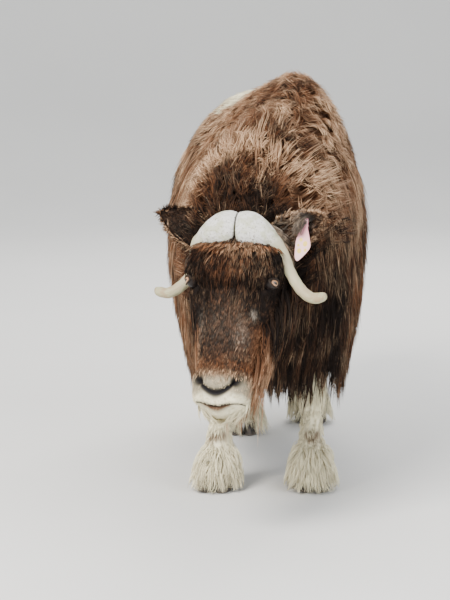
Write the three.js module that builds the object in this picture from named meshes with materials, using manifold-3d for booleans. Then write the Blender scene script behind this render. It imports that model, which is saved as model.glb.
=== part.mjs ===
// A muskox at life size, standing with its head lowered and turned a little to its right.
// Millimetres, +Z up. The animal faces -Y and its left side is +X. The frame's origin is the
// middle of the floor under the whole animal. Until the last step, places are counted from the
// point on the floor midway between the forefeet, on the median plane of the trunk.
import * as THREE from "three";
import { mergeVertices } from "three/addons/utils/BufferGeometryUtils.js";
import Module from "manifold-3d";

const wasm = await Module();
wasm.setup();

// Driving dimensions of the animal
const JOINT_GAP = 0.3; // between two nodes that meet
const SOCKET_GAP = 0.5; // the same round a horn, an ear or the tail, before its facets take some
const COAT_DEPTH = 72; // of the long coat, from the skin to the tips that lie over it
const CORE_SHARE = 0.5; // of that depth that the solid core takes
const ROOT_SINK = 24; // how deep the root of a lock sits in its core
const NECK_PLANE = -110; // y where the neck meets the torso
const LEG_TOP = 425; // z down to which the torso's form holds the legs
const LEG_JOIN = 385; // z where the legs meet the torso
const HOOF_TOP = 50; // z where the legs meet the hooves

// The outline of the coat at named places along the back, from the throat to the tail. top and
// lean are the height and the sideways place of the crest, wide and half the height and half
// width where the body is widest, hem and hemHalf the same at the lower edge of the skirt, mid
// the sideways place of the middle, and crown how square the back is.
const STATIONS = [
  { y: -410, top: 900, lean: -100, wide: 760, half: 110, hem: 560, hemHalf: 84, mid: -98, crown: 2 },
  { y: -320, top: 1010, lean: -84, wide: 800, half: 178, hem: 450, hemHalf: 125, mid: -78, crown: 1.9 },
  { y: -200, top: 1125, lean: -45, wide: 810, half: 228, hem: 345, hemHalf: 165, mid: -32, crown: 1.8 },
  { y: -60, top: 1215, lean: 38, wide: 790, half: 248, hem: 300, hemHalf: 190, mid: 0, crown: 1.7 },
  { y: 110, top: 1278, lean: 84, wide: 765, half: 266, hem: 278, hemHalf: 216, mid: 4, crown: 1.65 },
  { y: 280, top: 1242, lean: 48, wide: 740, half: 298, hem: 286, hemHalf: 232, mid: 8, crown: 1.75 },
  { y: 480, top: 1195, lean: 8, wide: 730, half: 312, hem: 298, hemHalf: 238, mid: 8, crown: 1.85 },
  { y: 700, top: 1185, lean: 0, wide: 730, half: 308, hem: 306, hemHalf: 232, mid: 5, crown: 1.9 },
  { y: 900, top: 1155, lean: 0, wide: 750, half: 290, hem: 326, hemHalf: 216, mid: 0, crown: 2 },
  { y: 1080, top: 1075, lean: 0, wide: 760, half: 262, hem: 352, hemHalf: 196, mid: 0, crown: 2 },
  { y: 1235, top: 940, lean: 0, wide: 750, half: 232, hem: 392, hemHalf: 170, mid: 0, crown: 2 },
];
const FRONT_END = { y: -410, turn: -330 }; // where the neck closes, and where it starts to
const REAR_END = { y: 1235, turn: 960 }; // the same for the rump
const BELLY = 500; // height of the skin of the belly

// The head, in its own frame: origin at the poll, -Z down the face, -Y out of the forehead
const HEAD_PLACE = { x: -90, y: -430, z: 896, pitch: -26, yaw: -16.5, roll: -0.5 };
const HEAD_BACK = 88; // y in the head's frame where the head meets the neck
const HEAD_ROOM = 300; // more than the head is wide
const JAW_ROOM = { back: 215, down: 250 }; // the room behind that plane, under this depth
// Half width, front and back of the skull and its flesh at depths down from the poll
const HEAD_SECTIONS = [
  { down: 2, half: 76, front: -22, back: 84, square: 2 },
  { down: 30, half: 112, front: -50, back: 110, square: 2.1 },
  { down: 84, half: 142, front: -82, back: 130, square: 2.2 },
  { down: 128, half: 150, front: -106, back: 142, square: 2.4 },
  { down: 172, half: 149, front: -110, back: 152, square: 2.4 },
  { down: 220, half: 142, front: -103, back: 158, square: 2.2 },
  { down: 275, half: 128, front: -95, back: 156, square: 2.1 },
  { down: 335, half: 112, front: -88, back: 138, square: 2.1 },
  { down: 405, half: 95, front: -87, back: 108, square: 2.3 },
  { down: 455, half: 84, front: -92, back: 84, square: 2.5 },
  { down: 505, half: 84, front: -98, back: 68, square: 2.6 },
  { down: 545, half: 80, front: -88, back: 56, square: 2.5 },
  { down: 572, half: 64, front: -68, back: 42, square: 2.3 },
  { down: 586, half: 40, front: -46, back: 20, square: 2 },
];
const EYE = { x: 115, y: -51, z: -200, radius: 21, turn: 56, opening: [16, 10], lid: 4 };
const NOSTRIL = { x: 56, y: -84, z: -507, size: [18, 13, 9], turn: 24 };
// The slit of the mouth: a plate that turns about y and z, and reaches deep into the lips
const MOUTH = { y: -10, z: -542, slope: 16, ahead: 155, behind: 45, tall: 4, deep: 6 };
const HORN_PATH = [
  { at: [2.5, -52, -54], tall: 55, deep: 36 },
  { at: [29, -54, -50], tall: 60, deep: 44 },
  { at: [61, -50, -59], tall: 51, deep: 41 },
  { at: [90, -42, -72], tall: 37, deep: 33 },
  { at: [113, -32, -88], tall: 27, deep: 26 },
  { at: [136, -18, -115], tall: 20, deep: 20.5 },
  { at: [153, -10, -148], tall: 17.5, deep: 17.5 },
  { at: [175, -8, -182], tall: 17, deep: 17 },
  { at: [200, -8, -211], tall: 17, deep: 17 },
  { at: [228, -10, -228], tall: 16.5, deep: 16.5 },
  { at: [254, -12, -226], tall: 15.5, deep: 15.5 },
  { at: [270, -12, -216], tall: 11.5, deep: 11.5 },
];
const BOSS_GROOVE = 5; // between the two bosses
const HORN_CLOSER = 34; // that the shaft of the right horn keeps closer to the head
// Each ear from its root to its tip: the middle, the half width and the half depth of the cup
const EAR = {
  wall: 6,
  left: [
    { at: [72, 54, -50], half: 42, deep: 24 },
    { at: [97, 52, -32], half: 52, deep: 27 },
    { at: [127, 44, -20], half: 56, deep: 27 },
    { at: [153, 38, -13], half: 53, deep: 25 },
    { at: [182, 30, 2], half: 42, deep: 21 },
    { at: [211, 22, 12], half: 26, deep: 15 },
    { at: [228, 17, 15], half: 13, deep: 10 },
    { at: [238, 14, 13], half: 5, deep: 5 },
  ],
  right: [
    { at: [-84, 54, -48], half: 42, deep: 24 },
    { at: [-118, 52, -28], half: 54, deep: 27 },
    { at: [-150, 50, -16], half: 59, deep: 27 },
    { at: [-182, 46, -3], half: 57, deep: 25 },
    { at: [-213, 41, 11], half: 48, deep: 22 },
    { at: [-239, 36, 21], half: 33, deep: 17 },
    { at: [-257, 32, 26], half: 17, deep: 12 },
    { at: [-266, 29, 26], half: 6, deep: 5 },
  ],
};
const TAG = {
  at: [182, 1, 0], // where the stem meets the plate
  thick: 2.4,
  // The plate's outline across and up from the stem: a narrow neck, then a blade that hangs askew
  outline: [
    [-8, 10], [-5, 12], [6, 12], [9, 10], [10, -18], [14, -30], [24, -68], [24, -76], [21, -84],
    [-7, -115], [-12, -118], [-16, -114], [-20, -104], [-20, -54], [-17, -42], [-9, -20],
  ],
  stem: 4,
  reach: 60, // of the stem, through the ear
  button: [14, 3],
};

// Each leg down from the torso: the middle and the half widths across and along at each height
const FORELEG = [
  { z: LEG_TOP, x: -10, y: 26, across: 64, along: 78 },
  { z: 366, x: -5, y: 10, across: 51, along: 58 },
  { z: 312, x: 0, y: -6, across: 46, along: 48 },
  { z: 276, x: 0, y: -4, across: 41, along: 43 },
  { z: 232, x: 0, y: 2, across: 34, along: 38 },
  { z: 168, x: 0, y: 0, across: 38, along: 43 },
  { z: 120, x: 0, y: -10, across: 44, along: 50 },
  { z: 76, x: 0, y: -16, across: 54, along: 60 },
  { z: HOOF_TOP, x: 0, y: -18, across: 57, along: 64 },
];
const HIND_LEG = [
  { z: LEG_TOP, x: 4, y: 62, across: 60, along: 84 },
  { z: 372, x: 2, y: 58, across: 48, along: 62 },
  { z: 318, x: 0, y: 44, across: 42, along: 50 },
  { z: 276, x: 0, y: 34, across: 38, along: 43 },
  { z: 232, x: 0, y: 24, across: 35, along: 39 },
  { z: 168, x: 0, y: 10, across: 39, along: 42 },
  { z: 120, x: 0, y: -4, across: 45, along: 50 },
  { z: 76, x: 0, y: -14, across: 53, along: 59 },
  { z: HOOF_TOP, x: 0, y: -16, across: 56, along: 63 },
];
const LEGS = [
  { name: "front_left", path: FORELEG, x: 133, y: 0, lean: -2, turn: 4 },
  { name: "front_right", path: FORELEG, x: -168, y: 0, lean: 36, turn: -10 },
  { name: "hind_left", path: HIND_LEG, x: 184, y: 980, lean: -42, turn: 6 },
  { name: "hind_right", path: HIND_LEG, x: -52, y: 800, lean: -62, turn: -6 },
];
const HOOF = { across: 52, length: 118, gap: 5, ahead: 18 };
// How much smaller a claw is at each height, and how far its outline has moved forward
const HOOF_RINGS = [
  { z: 0, shrink: 7, forward: 6 },
  { z: 8, shrink: 1, forward: 6 },
  { z: 26, shrink: 2, forward: 3 },
  { z: HOOF_TOP, shrink: 5, forward: 0 },
];

const colours = {
  darkCoat: 0x2b1c16,
  mane: 0x6b4a35,
  face: 0x4a2f22,
  horn: 0xb9b29a,
  eye: 0x8a5a2c,
  ear: 0x33241c,
  tag: 0xd9a3a6,
  leg: 0xcfc6b2,
  hoof: 0x3a342e,
};

// Small helpers
const vec = (x, y, z) => new THREE.Vector3(x, y, z);
const lerp = THREE.MathUtils.lerp;
const rad = THREE.MathUtils.degToRad;
const clamp = THREE.MathUtils.clamp;

// A seeded draw of numbers from -1 to 1
function draws(seed) {
  let state = seed;
  return () => {
    state = (state * 1664525 + 1013904223) % 4294967296;
    return (state / 4294967296) * 2 - 1;
  };
}

// A smooth curve of one value through a list of rows, by the slopes between neighbours
function trend(rows, at, key) {
  const xs = rows.map((row) => row[at]);
  const vs = rows.map((row) => row[key]);
  const last = rows.length - 1;
  const slope = (i) => {
    const a = Math.max(i - 1, 0);
    const b = Math.min(i + 1, last);
    return (vs[b] - vs[a]) / (xs[b] - xs[a]);
  };
  return (x) => {
    const inside = clamp(x, xs[0], xs[last]);
    let i = 0;
    while (i < last - 1 && inside > xs[i + 1]) i++;
    const span = xs[i + 1] - xs[i];
    const t = (inside - xs[i]) / span;
    const t2 = t * t;
    const t3 = t2 * t;
    return (
      vs[i] * (2 * t3 - 3 * t2 + 1) +
      slope(i) * span * (t3 - 2 * t2 + t) +
      vs[i + 1] * (3 * t2 - 2 * t3) +
      slope(i + 1) * span * (t3 - t2)
    );
  };
}

// A closed surface through rings of as many points each, with a fan at either end
function loft(rings) {
  const count = rings[0].length;
  const points = rings.flat();
  const faces = [];
  for (let r = 0; r + 1 < rings.length; r++) {
    for (let i = 0; i < count; i++) {
      const a = r * count + i;
      const b = r * count + ((i + 1) % count);
      faces.push(a, b, b + count, a, b + count, a + count);
    }
  }
  const end = (first, flip) => {
    const hub = points.length;
    const middle = vec(0, 0, 0);
    for (let i = 0; i < count; i++) middle.addScaledVector(points[first + i], 1 / count);
    points.push(middle);
    for (let i = 0; i < count; i++) {
      const a = first + i;
      const b = first + ((i + 1) % count);
      faces.push(hub, flip ? b : a, flip ? a : b);
    }
  };
  const lastRing = (rings.length - 1) * count;
  end(0, true);
  end(lastRing, false);
  const geometry = new THREE.BufferGeometry().setFromPoints(points);
  geometry.setIndex(faces);
  return geometry;
}

// A geometry as a solid, turned right side out
function solid(geometry) {
  const bare = new THREE.BufferGeometry();
  bare.setAttribute("position", geometry.getAttribute("position"));
  if (geometry.index) bare.setIndex(geometry.index);
  const merged = mergeVertices(bare, 1e-3);
  const at = merged.getAttribute("position");
  const index = merged.index.array;
  const corner = (i) => vec(0, 0, 0).fromBufferAttribute(at, index[i]);
  let volume = 0;
  for (let i = 0; i < index.length; i += 3) {
    volume += corner(i).dot(corner(i + 1).cross(corner(i + 2)));
  }
  const triVerts = new Uint32Array(index);
  if (volume < 0) {
    for (let i = 0; i < triVerts.length; i += 3) {
      [triVerts[i + 1], triVerts[i + 2]] = [triVerts[i + 2], triVerts[i + 1]];
    }
  }
  const mesh = new wasm.Mesh({ numProp: 3, vertProperties: new Float32Array(at.array), triVerts });
  return new wasm.Manifold(mesh);
}

// A solid as a geometry
function geometryOf(body) {
  const mesh = body.getMesh();
  const geometry = new THREE.BufferGeometry();
  const places = new Float32Array(mesh.numVert * 3);
  for (let i = 0; i < mesh.numVert; i++) {
    places.set(mesh.vertProperties.subarray(i * mesh.numProp, i * mesh.numProp + 3), i * 3);
  }
  geometry.setAttribute("position", new THREE.BufferAttribute(places, 3));
  geometry.setIndex(new THREE.BufferAttribute(mesh.triVerts, 1));
  geometry.computeVertexNormals();
  return geometry;
}

const fuse = (bodies) => bodies.reduce((sum, body) => sum.add(body));

// The largest closed surface of a solid, which drops loose scraps and fills sealed hollows
function largest(body) {
  const parts = body.decompose();
  return parts.reduce((best, part) => (part.volume() > best.volume() ? part : best));
}

// A box between two corners
function block(low, high) {
  const size = high.clone().sub(low);
  const box = new THREE.BoxGeometry(size.x, size.y, size.z);
  box.translate((low.x + high.x) / 2, (low.y + high.y) / 2, (low.z + high.z) / 2);
  return solid(box);
}

const FAR = 3000;
// All space on one side of a plane across Y, in the frame that the matrix gives
function halfSpace(from, to, matrix = new THREE.Matrix4()) {
  const box = new THREE.BoxGeometry(2 * FAR, to - from, 2 * FAR);
  box.translate(0, (from + to) / 2, 0);
  return solid(box.applyMatrix4(matrix));
}

// A superellipse point, from 0 at the top to 1 all the way round
function squircle(turn, power) {
  const angle = turn * 2 * Math.PI;
  const grow = (v) => Math.sign(v) * Math.abs(v) ** (2 / power);
  return [grow(Math.sin(angle)), grow(Math.cos(angle))];
}

// The coat of the trunk and neck
const coat = {};
for (const key of ["top", "lean", "wide", "half", "hem", "hemHalf", "mid", "crown"]) {
  coat[key] = trend(STATIONS, "y", key);
}

// How far the plan has closed at an end: 1 along the body and 0 at either end
function closing(y) {
  const rear = clamp((y - REAR_END.turn) / (REAR_END.y - REAR_END.turn), 0, 1);
  const front = clamp((y - FRONT_END.turn) / (FRONT_END.y - FRONT_END.turn), 0, 1);
  return Math.sqrt(Math.max(1 - rear * rear, 0)) * Math.sqrt(Math.max(1 - front * front, 0));
}

// One side of the coat's section at y: a quarter of a superellipse from the crest to the widest
// point, then an inward curve down to the hem. share runs from 0 at the crest to 2 at the hem.
function sectionPoint(y, side, share) {
  const round = closing(y);
  const top = coat.top(y);
  const wide = coat.wide(y);
  const mid = coat.mid(y);
  const half = coat.half(y) * round;
  if (share <= 1) {
    const [out, up] = squircle(share / 4, coat.crown(y));
    const middle = lerp(mid, coat.lean(y), up);
    return vec(middle + side * half * out, y, wide + (top - wide) * up);
  }
  const fall = share - 1;
  const low = coat.hemHalf(y) * round;
  return vec(mid + side * lerp(half, low, fall * fall), y, lerp(wide, coat.hem(y), fall));
}

const SECTION_STEPS = 36;
// The share of the section at a distance in millimetres down from the crest, past 2 below the hem
function shareAt(y, side, run) {
  let gone = 0;
  let before = sectionPoint(y, side, 0);
  for (let i = 1; i <= SECTION_STEPS; i++) {
    const share = (2 * i) / SECTION_STEPS;
    const here = sectionPoint(y, side, share);
    const step = here.distanceTo(before);
    if (gone + step >= run) return share - (2 / SECTION_STEPS) * (1 - (run - gone) / step);
    gone += step;
    before = here;
  }
  return 2 + (run - gone) / 1000;
}

// A point of the coat at a distance down from the crest, and the way out of the coat there
function coatPoint(y, side, run) {
  const share = shareAt(y, side, run);
  const held = Math.min(share, 2);
  const point = sectionPoint(y, side, held);
  if (share > 2) point.z -= (share - 2) * 1000;
  const nudge = 0.02;
  const reach = 4;
  const down = sectionPoint(y, side, Math.min(held + nudge, 2)).sub(
    sectionPoint(y, side, Math.max(held - nudge, 0)),
  );
  const ahead = Math.min(y + reach, REAR_END.y - 1);
  const behind = Math.max(y - reach, FRONT_END.y + 1);
  const back = sectionPoint(ahead, side, held).sub(sectionPoint(behind, side, held));
  const out = back.cross(down).multiplyScalar(-side).normalize();
  return { point, out };
}

const CORE_SEGMENTS = 11; // on each side of the core
const CORE_RINGS = 18;
// The solid core that the locks of the trunk and neck are rooted in
function trunkCore() {
  const inset = COAT_DEPTH * CORE_SHARE;
  const rings = [];
  for (let r = 0; r <= CORE_RINGS; r++) {
    const along = (1 - Math.cos((Math.PI * r) / CORE_RINGS)) / 2;
    const y = lerp(FRONT_END.y + inset, REAR_END.y - inset, lerp(along, r / CORE_RINGS, 0.45));
    const lowest = lerp(coat.hem(y), BELLY + Math.max(0, coat.hem(y) - 400) * 0.6, CORE_SHARE);
    const bottomShare = 1 + (coat.wide(y) - lowest) / (coat.wide(y) - coat.hem(y));
    const sides = [1, -1].map((side) => {
      const line = [];
      for (let i = 0; i <= CORE_SEGMENTS; i++) {
        const share = (bottomShare * i) / CORE_SEGMENTS;
        const stretched = (y - FRONT_END.y - inset) / (REAR_END.y - FRONT_END.y - 2 * inset);
        const source = lerp(FRONT_END.y + 3, REAR_END.y - 3, stretched);
        const point = sectionPoint(source, side, share);
        const middle = lerp(coat.mid(y), coat.lean(y), clamp(1 - share, 0, 1));
        const outward = vec(point.x - middle, 0, (point.z - coat.wide(y)) * (share < 1 ? 1 : 0));
        const size = Math.max(outward.length(), 1);
        point.addScaledVector(outward, -Math.min(inset, size * 0.9) / size);
        point.y = y;
        line.push(point);
      }
      return line;
    });
    rings.push([...sides[0], ...sides[1].slice(1).reverse()]);
  }
  return solid(loft(rings));
}

// A flat lock of hair: a lens-shaped section carried along a path from its root to a fine tip.
// out is the way out of the coat at each point of the path.
const LOCK_SPREAD = [0.62, 0.9, 1, 0.86, 0.58, 0.3];
function lock(path, out, width, thick) {
  const rings = [];
  for (let i = 0; i + 1 < path.length; i++) {
    const run = path[i + 1].clone().sub(path[Math.max(i - 1, 0)]).normalize();
    const normal = out[i].clone().addScaledVector(run, -out[i].dot(run)).normalize();
    const across = run.clone().cross(normal);
    const place = (i / (path.length - 1)) * (LOCK_SPREAD.length - 1);
    const low = Math.floor(place);
    const spread = lerp(LOCK_SPREAD[low], LOCK_SPREAD[low + 1], place - low);
    const w = (width / 2) * spread;
    const h = (thick / 2) * (0.5 + 0.5 * spread);
    rings.push([
      path[i].clone().addScaledVector(across, w),
      path[i].clone().addScaledVector(normal, h),
      path[i].clone().addScaledVector(across, -w),
      path[i].clone().addScaledVector(normal, -h),
    ]);
  }
  const count = 4;
  const points = rings.flat();
  const tip = points.length;
  points.push(path[path.length - 1].clone());
  const faces = [0, 2, 1, 0, 3, 2];
  for (let r = 0; r + 1 < rings.length; r++) {
    for (let i = 0; i < count; i++) {
      const a = r * count + i;
      const b = r * count + ((i + 1) % count);
      faces.push(a, b, b + count, a, b + count, a + count);
    }
  }
  const last = (rings.length - 1) * count;
  for (let i = 0; i < count; i++) faces.push(last + i, last + ((i + 1) % count), tip);
  const geometry = new THREE.BufferGeometry().setFromPoints(points);
  geometry.setIndex(faces);
  return solid(geometry);
}

// Rows of locks on the coat: run is where the roots are, in millimetres down from the crest,
// reach how far the locks go, past the hem where it is longer, drift how far back they lie, and
// phase where the first one is, as a share of the space between two.
const ROWS = [
  { from: -330, to: 330, run: 8, reach: 215, width: 136, drift: 0.42, lift: 6, phase: 0.5 },
  { from: -350, to: 380, run: 165, reach: 230, width: 132, drift: 0.2, lift: 6, phase: 0.8 },
  { from: 400, to: 1200, run: 120, reach: 240, width: 136, drift: 0.25, lift: 0, phase: 0.5 },
  { from: -380, to: 1215, run: 320, reach: 260, width: 134, drift: 0.12, lift: 3, phase: 0.7 },
  { from: -400, to: 1231, run: 480, reach: 290, width: 130, drift: 0.05, lift: 0, phase: 0.5 },
  { from: -390, to: 1231, run: 650, reach: 330, width: 122, drift: 0.02, lift: -4, phase: 0.8 },
];
const LOCK_STEPS = 4;
const LOCK_THICK = 15;
const LOCK_PITCH = 0.985; // from one lock to the next, as a share of its width
const LOCK_STEP = 5; // by which every second lock stands out, and the others lie back
const GIRTH = 900; // from the crest to the hem, where the rows' runs are as listed
const STRAIGHT_FROM = 1000; // y behind which locks hang straight
const CHANCE = { start: 14, reach: 0.14, width: 0.12, sway: 14 }; // how far locks differ

// Places along y that are equally far apart on the plan of the coat
function placesAlong(from, to, spacing, phase) {
  const steps = 400;
  const low = Math.max(from, FRONT_END.y + 4);
  const high = Math.min(to, REAR_END.y - 4);
  const plan = (y) => vec(coat.half(y) * closing(y), y, 0);
  const runs = [0];
  for (let i = 1; i <= steps; i++) {
    const a = plan(lerp(low, high, (i - 1) / steps));
    const b = plan(lerp(low, high, i / steps));
    runs.push(runs[i - 1] + a.distanceTo(b));
  }
  const count = Math.max(1, Math.round(runs[steps] / spacing));
  const places = [];
  for (let k = 0; k < count; k++) {
    const wanted = ((k + phase) / count) * runs[steps];
    const i = runs.findIndex((run) => run >= wanted);
    places.push(lerp(low, high, i / steps));
  }
  return places;
}

function coatLocks(from, to, seed) {
  const draw = draws(seed);
  const made = [];
  ROWS.forEach((row) => {
    const low = Math.max(from, row.from);
    const high = Math.min(to, row.to);
    if (high - low < row.width / 2) return;
    for (const side of [1, -1]) {
      placesAlong(low, high, row.width * LOCK_PITCH, row.phase).forEach((y, number) => {
        const total = coatLength(y, side);
        const start = Math.max(3, row.run * (total / GIRTH) + draw() * CHANCE.start);
        const reach = row.reach * (1 + CHANCE.reach * draw());
        const drift = row.drift * reach * (y > STRAIGHT_FROM ? 0 : 1);
        const sway = draw() * CHANCE.sway;
        const step = number % 2 ? LOCK_STEP : -LOCK_STEP;
        const path = [];
        const out = [];
        for (let i = 0; i <= LOCK_STEPS; i++) {
          const t = i / LOCK_STEPS;
          const here = clamp(y + drift * t + sway * t * t, FRONT_END.y + 3, REAR_END.y - 3);
          const spot = coatPoint(here, side, start + reach * t);
          const core = COAT_DEPTH * CORE_SHARE;
          const depth = i ? lerp(core, -row.lift, Math.min(1, t * 1.1)) - step : core + ROOT_SINK;
          path.push(spot.point.addScaledVector(spot.out, -depth));
          out.push(spot.out);
        }
        made.push(lock(path, out, row.width * (1 + CHANCE.width * draw()), LOCK_THICK));
      });
    }
  });
  return made;
}

// The length of the section from the crest to the hem
function coatLength(y, side) {
  let total = 0;
  for (let i = 1; i <= SECTION_STEPS; i++) {
    const a = sectionPoint(y, side, (2 * (i - 1)) / SECTION_STEPS);
    total += a.distanceTo(sectionPoint(y, side, (2 * i) / SECTION_STEPS));
  }
  return total;
}

// The head's frame in the animal's
const headMatrix = new THREE.Matrix4().compose(
  vec(HEAD_PLACE.x, HEAD_PLACE.y, HEAD_PLACE.z),
  new THREE.Quaternion().setFromEuler(
    new THREE.Euler(rad(HEAD_PLACE.pitch), rad(HEAD_PLACE.roll), rad(HEAD_PLACE.yaw), "ZYX"),
  ),
  vec(1, 1, 1),
);
const head = {};
for (const key of ["half", "front", "back", "square"]) head[key] = trend(HEAD_SECTIONS, "down", key);

// A point of the head's surface at a depth down the face; turn is 0 in the middle of the
// forehead, 0.25 on the animal's left and 0.5 at the back
function headPoint(down, turn, grow = 0) {
  const [out, ahead] = squircle(turn, head.square(down));
  const middle = (head.back(down) + head.front(down)) / 2;
  const depth = (head.back(down) - head.front(down)) / 2 + grow;
  return vec((head.half(down) + grow) * out, middle - depth * ahead, -down);
}

const HEAD_SEGMENTS = 18;
const HEAD_RINGS = 14;
function headForm(grow = 0) {
  const first = HEAD_SECTIONS[0].down;
  const last = HEAD_SECTIONS[HEAD_SECTIONS.length - 1].down;
  const rings = [];
  for (let r = 0; r <= HEAD_RINGS; r++) {
    const t = r / HEAD_RINGS;
    const down = lerp(first, last, lerp(t, (1 - Math.cos(Math.PI * t)) / 2, 0.6));
    const ring = [];
    for (let i = 0; i < HEAD_SEGMENTS; i++) {
      const point = headPoint(down, i / HEAD_SEGMENTS, grow);
      point.z += grow * (1 - 2 * t);
      ring.push(point);
    }
    rings.push(ring);
  }
  return solid(loft(rings));
}

// A ball or an ellipsoid, put in place by a turn about Z and a shift
function ball(radii, at, turn = 0, segments = 14, tilt = 0) {
  const sphere = new THREE.SphereGeometry(1, segments, Math.round(segments * 0.7));
  sphere.scale(radii[0], radii[1], radii[2]);
  sphere.rotateY(rad(tilt));
  sphere.rotateZ(rad(turn));
  sphere.translate(at[0], at[1], at[2]);
  return solid(sphere);
}

// The way an eye looks, in the head's frame
const eyeWay = (side) => vec(side * Math.sin(rad(EYE.turn)), -Math.cos(rad(EYE.turn)), 0);

function eyeBall(side, grow = 0) {
  const size = EYE.radius + grow;
  return ball([size, size, size], [side * EYE.x, EYE.y, EYE.z], 0, 12);
}

// The lids: a thin shell round the eye, open in an almond
function lids(side) {
  const size = EYE.radius + EYE.lid;
  const way = eyeWay(side);
  const shell = ball([size, size, size * 0.86], [side * EYE.x, EYE.y, EYE.z], 0, 12);
  const cutterAt = vec(side * EYE.x, EYE.y, EYE.z).addScaledVector(way, EYE.radius);
  const [wide, tall] = EYE.opening;
  const almond = ball([wide, EYE.radius * 0.9, tall], cutterAt.toArray(), side * EYE.turn, 10);
  return { shell, almond };
}

// A tube of ellipses along a path; tall is the half size across the path in the XZ plane of its
// start and deep the half size out of the head
function tube(path, segments, grow = 0) {
  const points = path.map((step) => vec(...step.at));
  const rings = path.map((step, i) => {
    const ahead = points[Math.min(i + 1, path.length - 1)];
    const behind = points[Math.max(i - 1, 0)];
    const run = ahead.clone().sub(behind).normalize();
    const deepWay = vec(0, -1, 0).addScaledVector(run, run.y).normalize();
    const tallWay = deepWay.clone().cross(run);
    const middle = points[i].clone();
    if (i === 0) middle.addScaledVector(run, -grow);
    if (i === path.length - 1) middle.addScaledVector(run, grow);
    return Array.from({ length: segments }, (_, k) => {
      const angle = (2 * Math.PI * k) / segments;
      return middle
        .clone()
        .addScaledVector(tallWay, (step.tall + grow) * Math.cos(angle))
        .addScaledVector(deepWay, (step.deep + grow) * Math.sin(angle));
    });
  });
  return solid(loft(rings));
}

// The path through the listed places of a horn, rounded by a curve
function smoothPath(steps, count, keys) {
  const curve = new THREE.CatmullRomCurve3(steps.map((step) => vec(...step.at)));
  const rows = steps.map((step, i) => ({ ...step, t: i / (steps.length - 1) }));
  const along = Object.fromEntries(keys.map((key) => [key, trend(rows, "t", key)]));
  return Array.from({ length: count + 1 }, (_, k) => {
    const t = k / count;
    const step = { at: curve.getPoint(t).toArray() };
    for (const key of keys) step[key] = along[key](t);
    return step;
  });
}

function horn(side, grow = 0) {
  const steps = HORN_PATH.map((step, i) => {
    const closer = side < 0 ? HORN_CLOSER * clamp((i - 4) / 3, 0, 1) : 0;
    return { ...step, at: [side * (step.at[0] - closer), step.at[1], step.at[2]] };
  });
  const whole = tube(smoothPath(steps, 12, ["tall", "deep"]), 11, grow);
  const groove = BOSS_GROOVE / 2 - grow;
  const own = side > 0 ? [groove, FAR] : [-FAR, -groove];
  return whole.intersect(block(vec(own[0], -FAR, -FAR), vec(own[1], FAR, FAR)));
}

// An ear: a leaf of lens sections, hollowed from the front
const EAR_SEGMENTS = 10;
function earForm(steps, shrink, forward) {
  const points = steps.map((step) => vec(...step.at));
  const rings = steps.map((step, i) => {
    const ahead = points[Math.min(i + 1, steps.length - 1)];
    const behind = points[Math.max(i - 1, 0)];
    const run = ahead.clone().sub(behind).normalize();
    const face = vec(0, -1, 0).addScaledVector(run, run.y).normalize();
    const edge = face.clone().cross(run);
    const middle = points[i].clone().addScaledVector(run, i ? 0 : Math.min(shrink, 0));
    return Array.from({ length: EAR_SEGMENTS }, (_, k) => {
      const angle = (2 * Math.PI * k) / EAR_SEGMENTS;
      return middle
        .clone()
        .addScaledVector(face, forward)
        .addScaledVector(edge, Math.max(step.half - shrink, 1) * Math.cos(angle))
        .addScaledVector(face, Math.max(step.deep - shrink, 1) * Math.sin(angle));
    });
  });
  return solid(loft(rings));
}

function ear(steps) {
  const path = smoothPath(steps, 7, ["half", "deep"]);
  const outer = earForm(path, 0, 0);
  const hollowed = path.map((step) => ({ ...step, deep: step.deep + 12 }));
  const inner = earForm(hollowed.slice(1, -1), EAR.wall, 18);
  return outer.subtract(inner);
}

const inHead = (body) => body.transform(headMatrix.elements);

// The short locks of the cheeks, the crown and the beard: where each starts on the head, how far
// it goes down, and how far out it lifts
const HEAD_LOCKS = [
  { down: 20, turns: [-0.05, 0.05], reach: 60, width: 60, lift: 22 },
  { down: 205, turns: [-0.33, -0.27, 0.27, 0.33], reach: 170, width: 84, lift: 16 },
  { down: 300, turns: [-0.4, -0.31, -0.24, 0.24, 0.31, 0.4], reach: 170, width: 74, lift: 18 },
  { down: 400, turns: [-0.46, -0.37, 0.37, 0.46], reach: 150, width: 60, lift: 20 },
];
const HEAD_LOCK_STEPS = 4;
const HEAD_LOCK = { thick: 12, sink: 14, lowest: 560 };

function headLocks(seed) {
  const draw = draws(seed);
  const made = [];
  for (const row of HEAD_LOCKS) {
    for (const turn of row.turns) {
      const start = row.down + draw() * 8;
      const reach = row.reach * (1 + 0.12 * draw());
      const path = [];
      const out = [];
      for (let i = 0; i <= HEAD_LOCK_STEPS; i++) {
        const t = i / HEAD_LOCK_STEPS;
        const down = Math.min(start + reach * t, HEAD_LOCK.lowest);
        const here = turn + 0.02 * draw() * t;
        const point = headPoint(down, here);
        const normal = headPoint(down, here, 10).sub(point).normalize();
        point.z -= start + reach * t - down;
        point.addScaledVector(normal, i ? lerp(2, row.lift, t) : -HEAD_LOCK.sink);
        path.push(point);
        out.push(normal);
      }
      made.push(lock(path, out, row.width, HEAD_LOCK.thick));
    }
  }
  return made;
}

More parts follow.
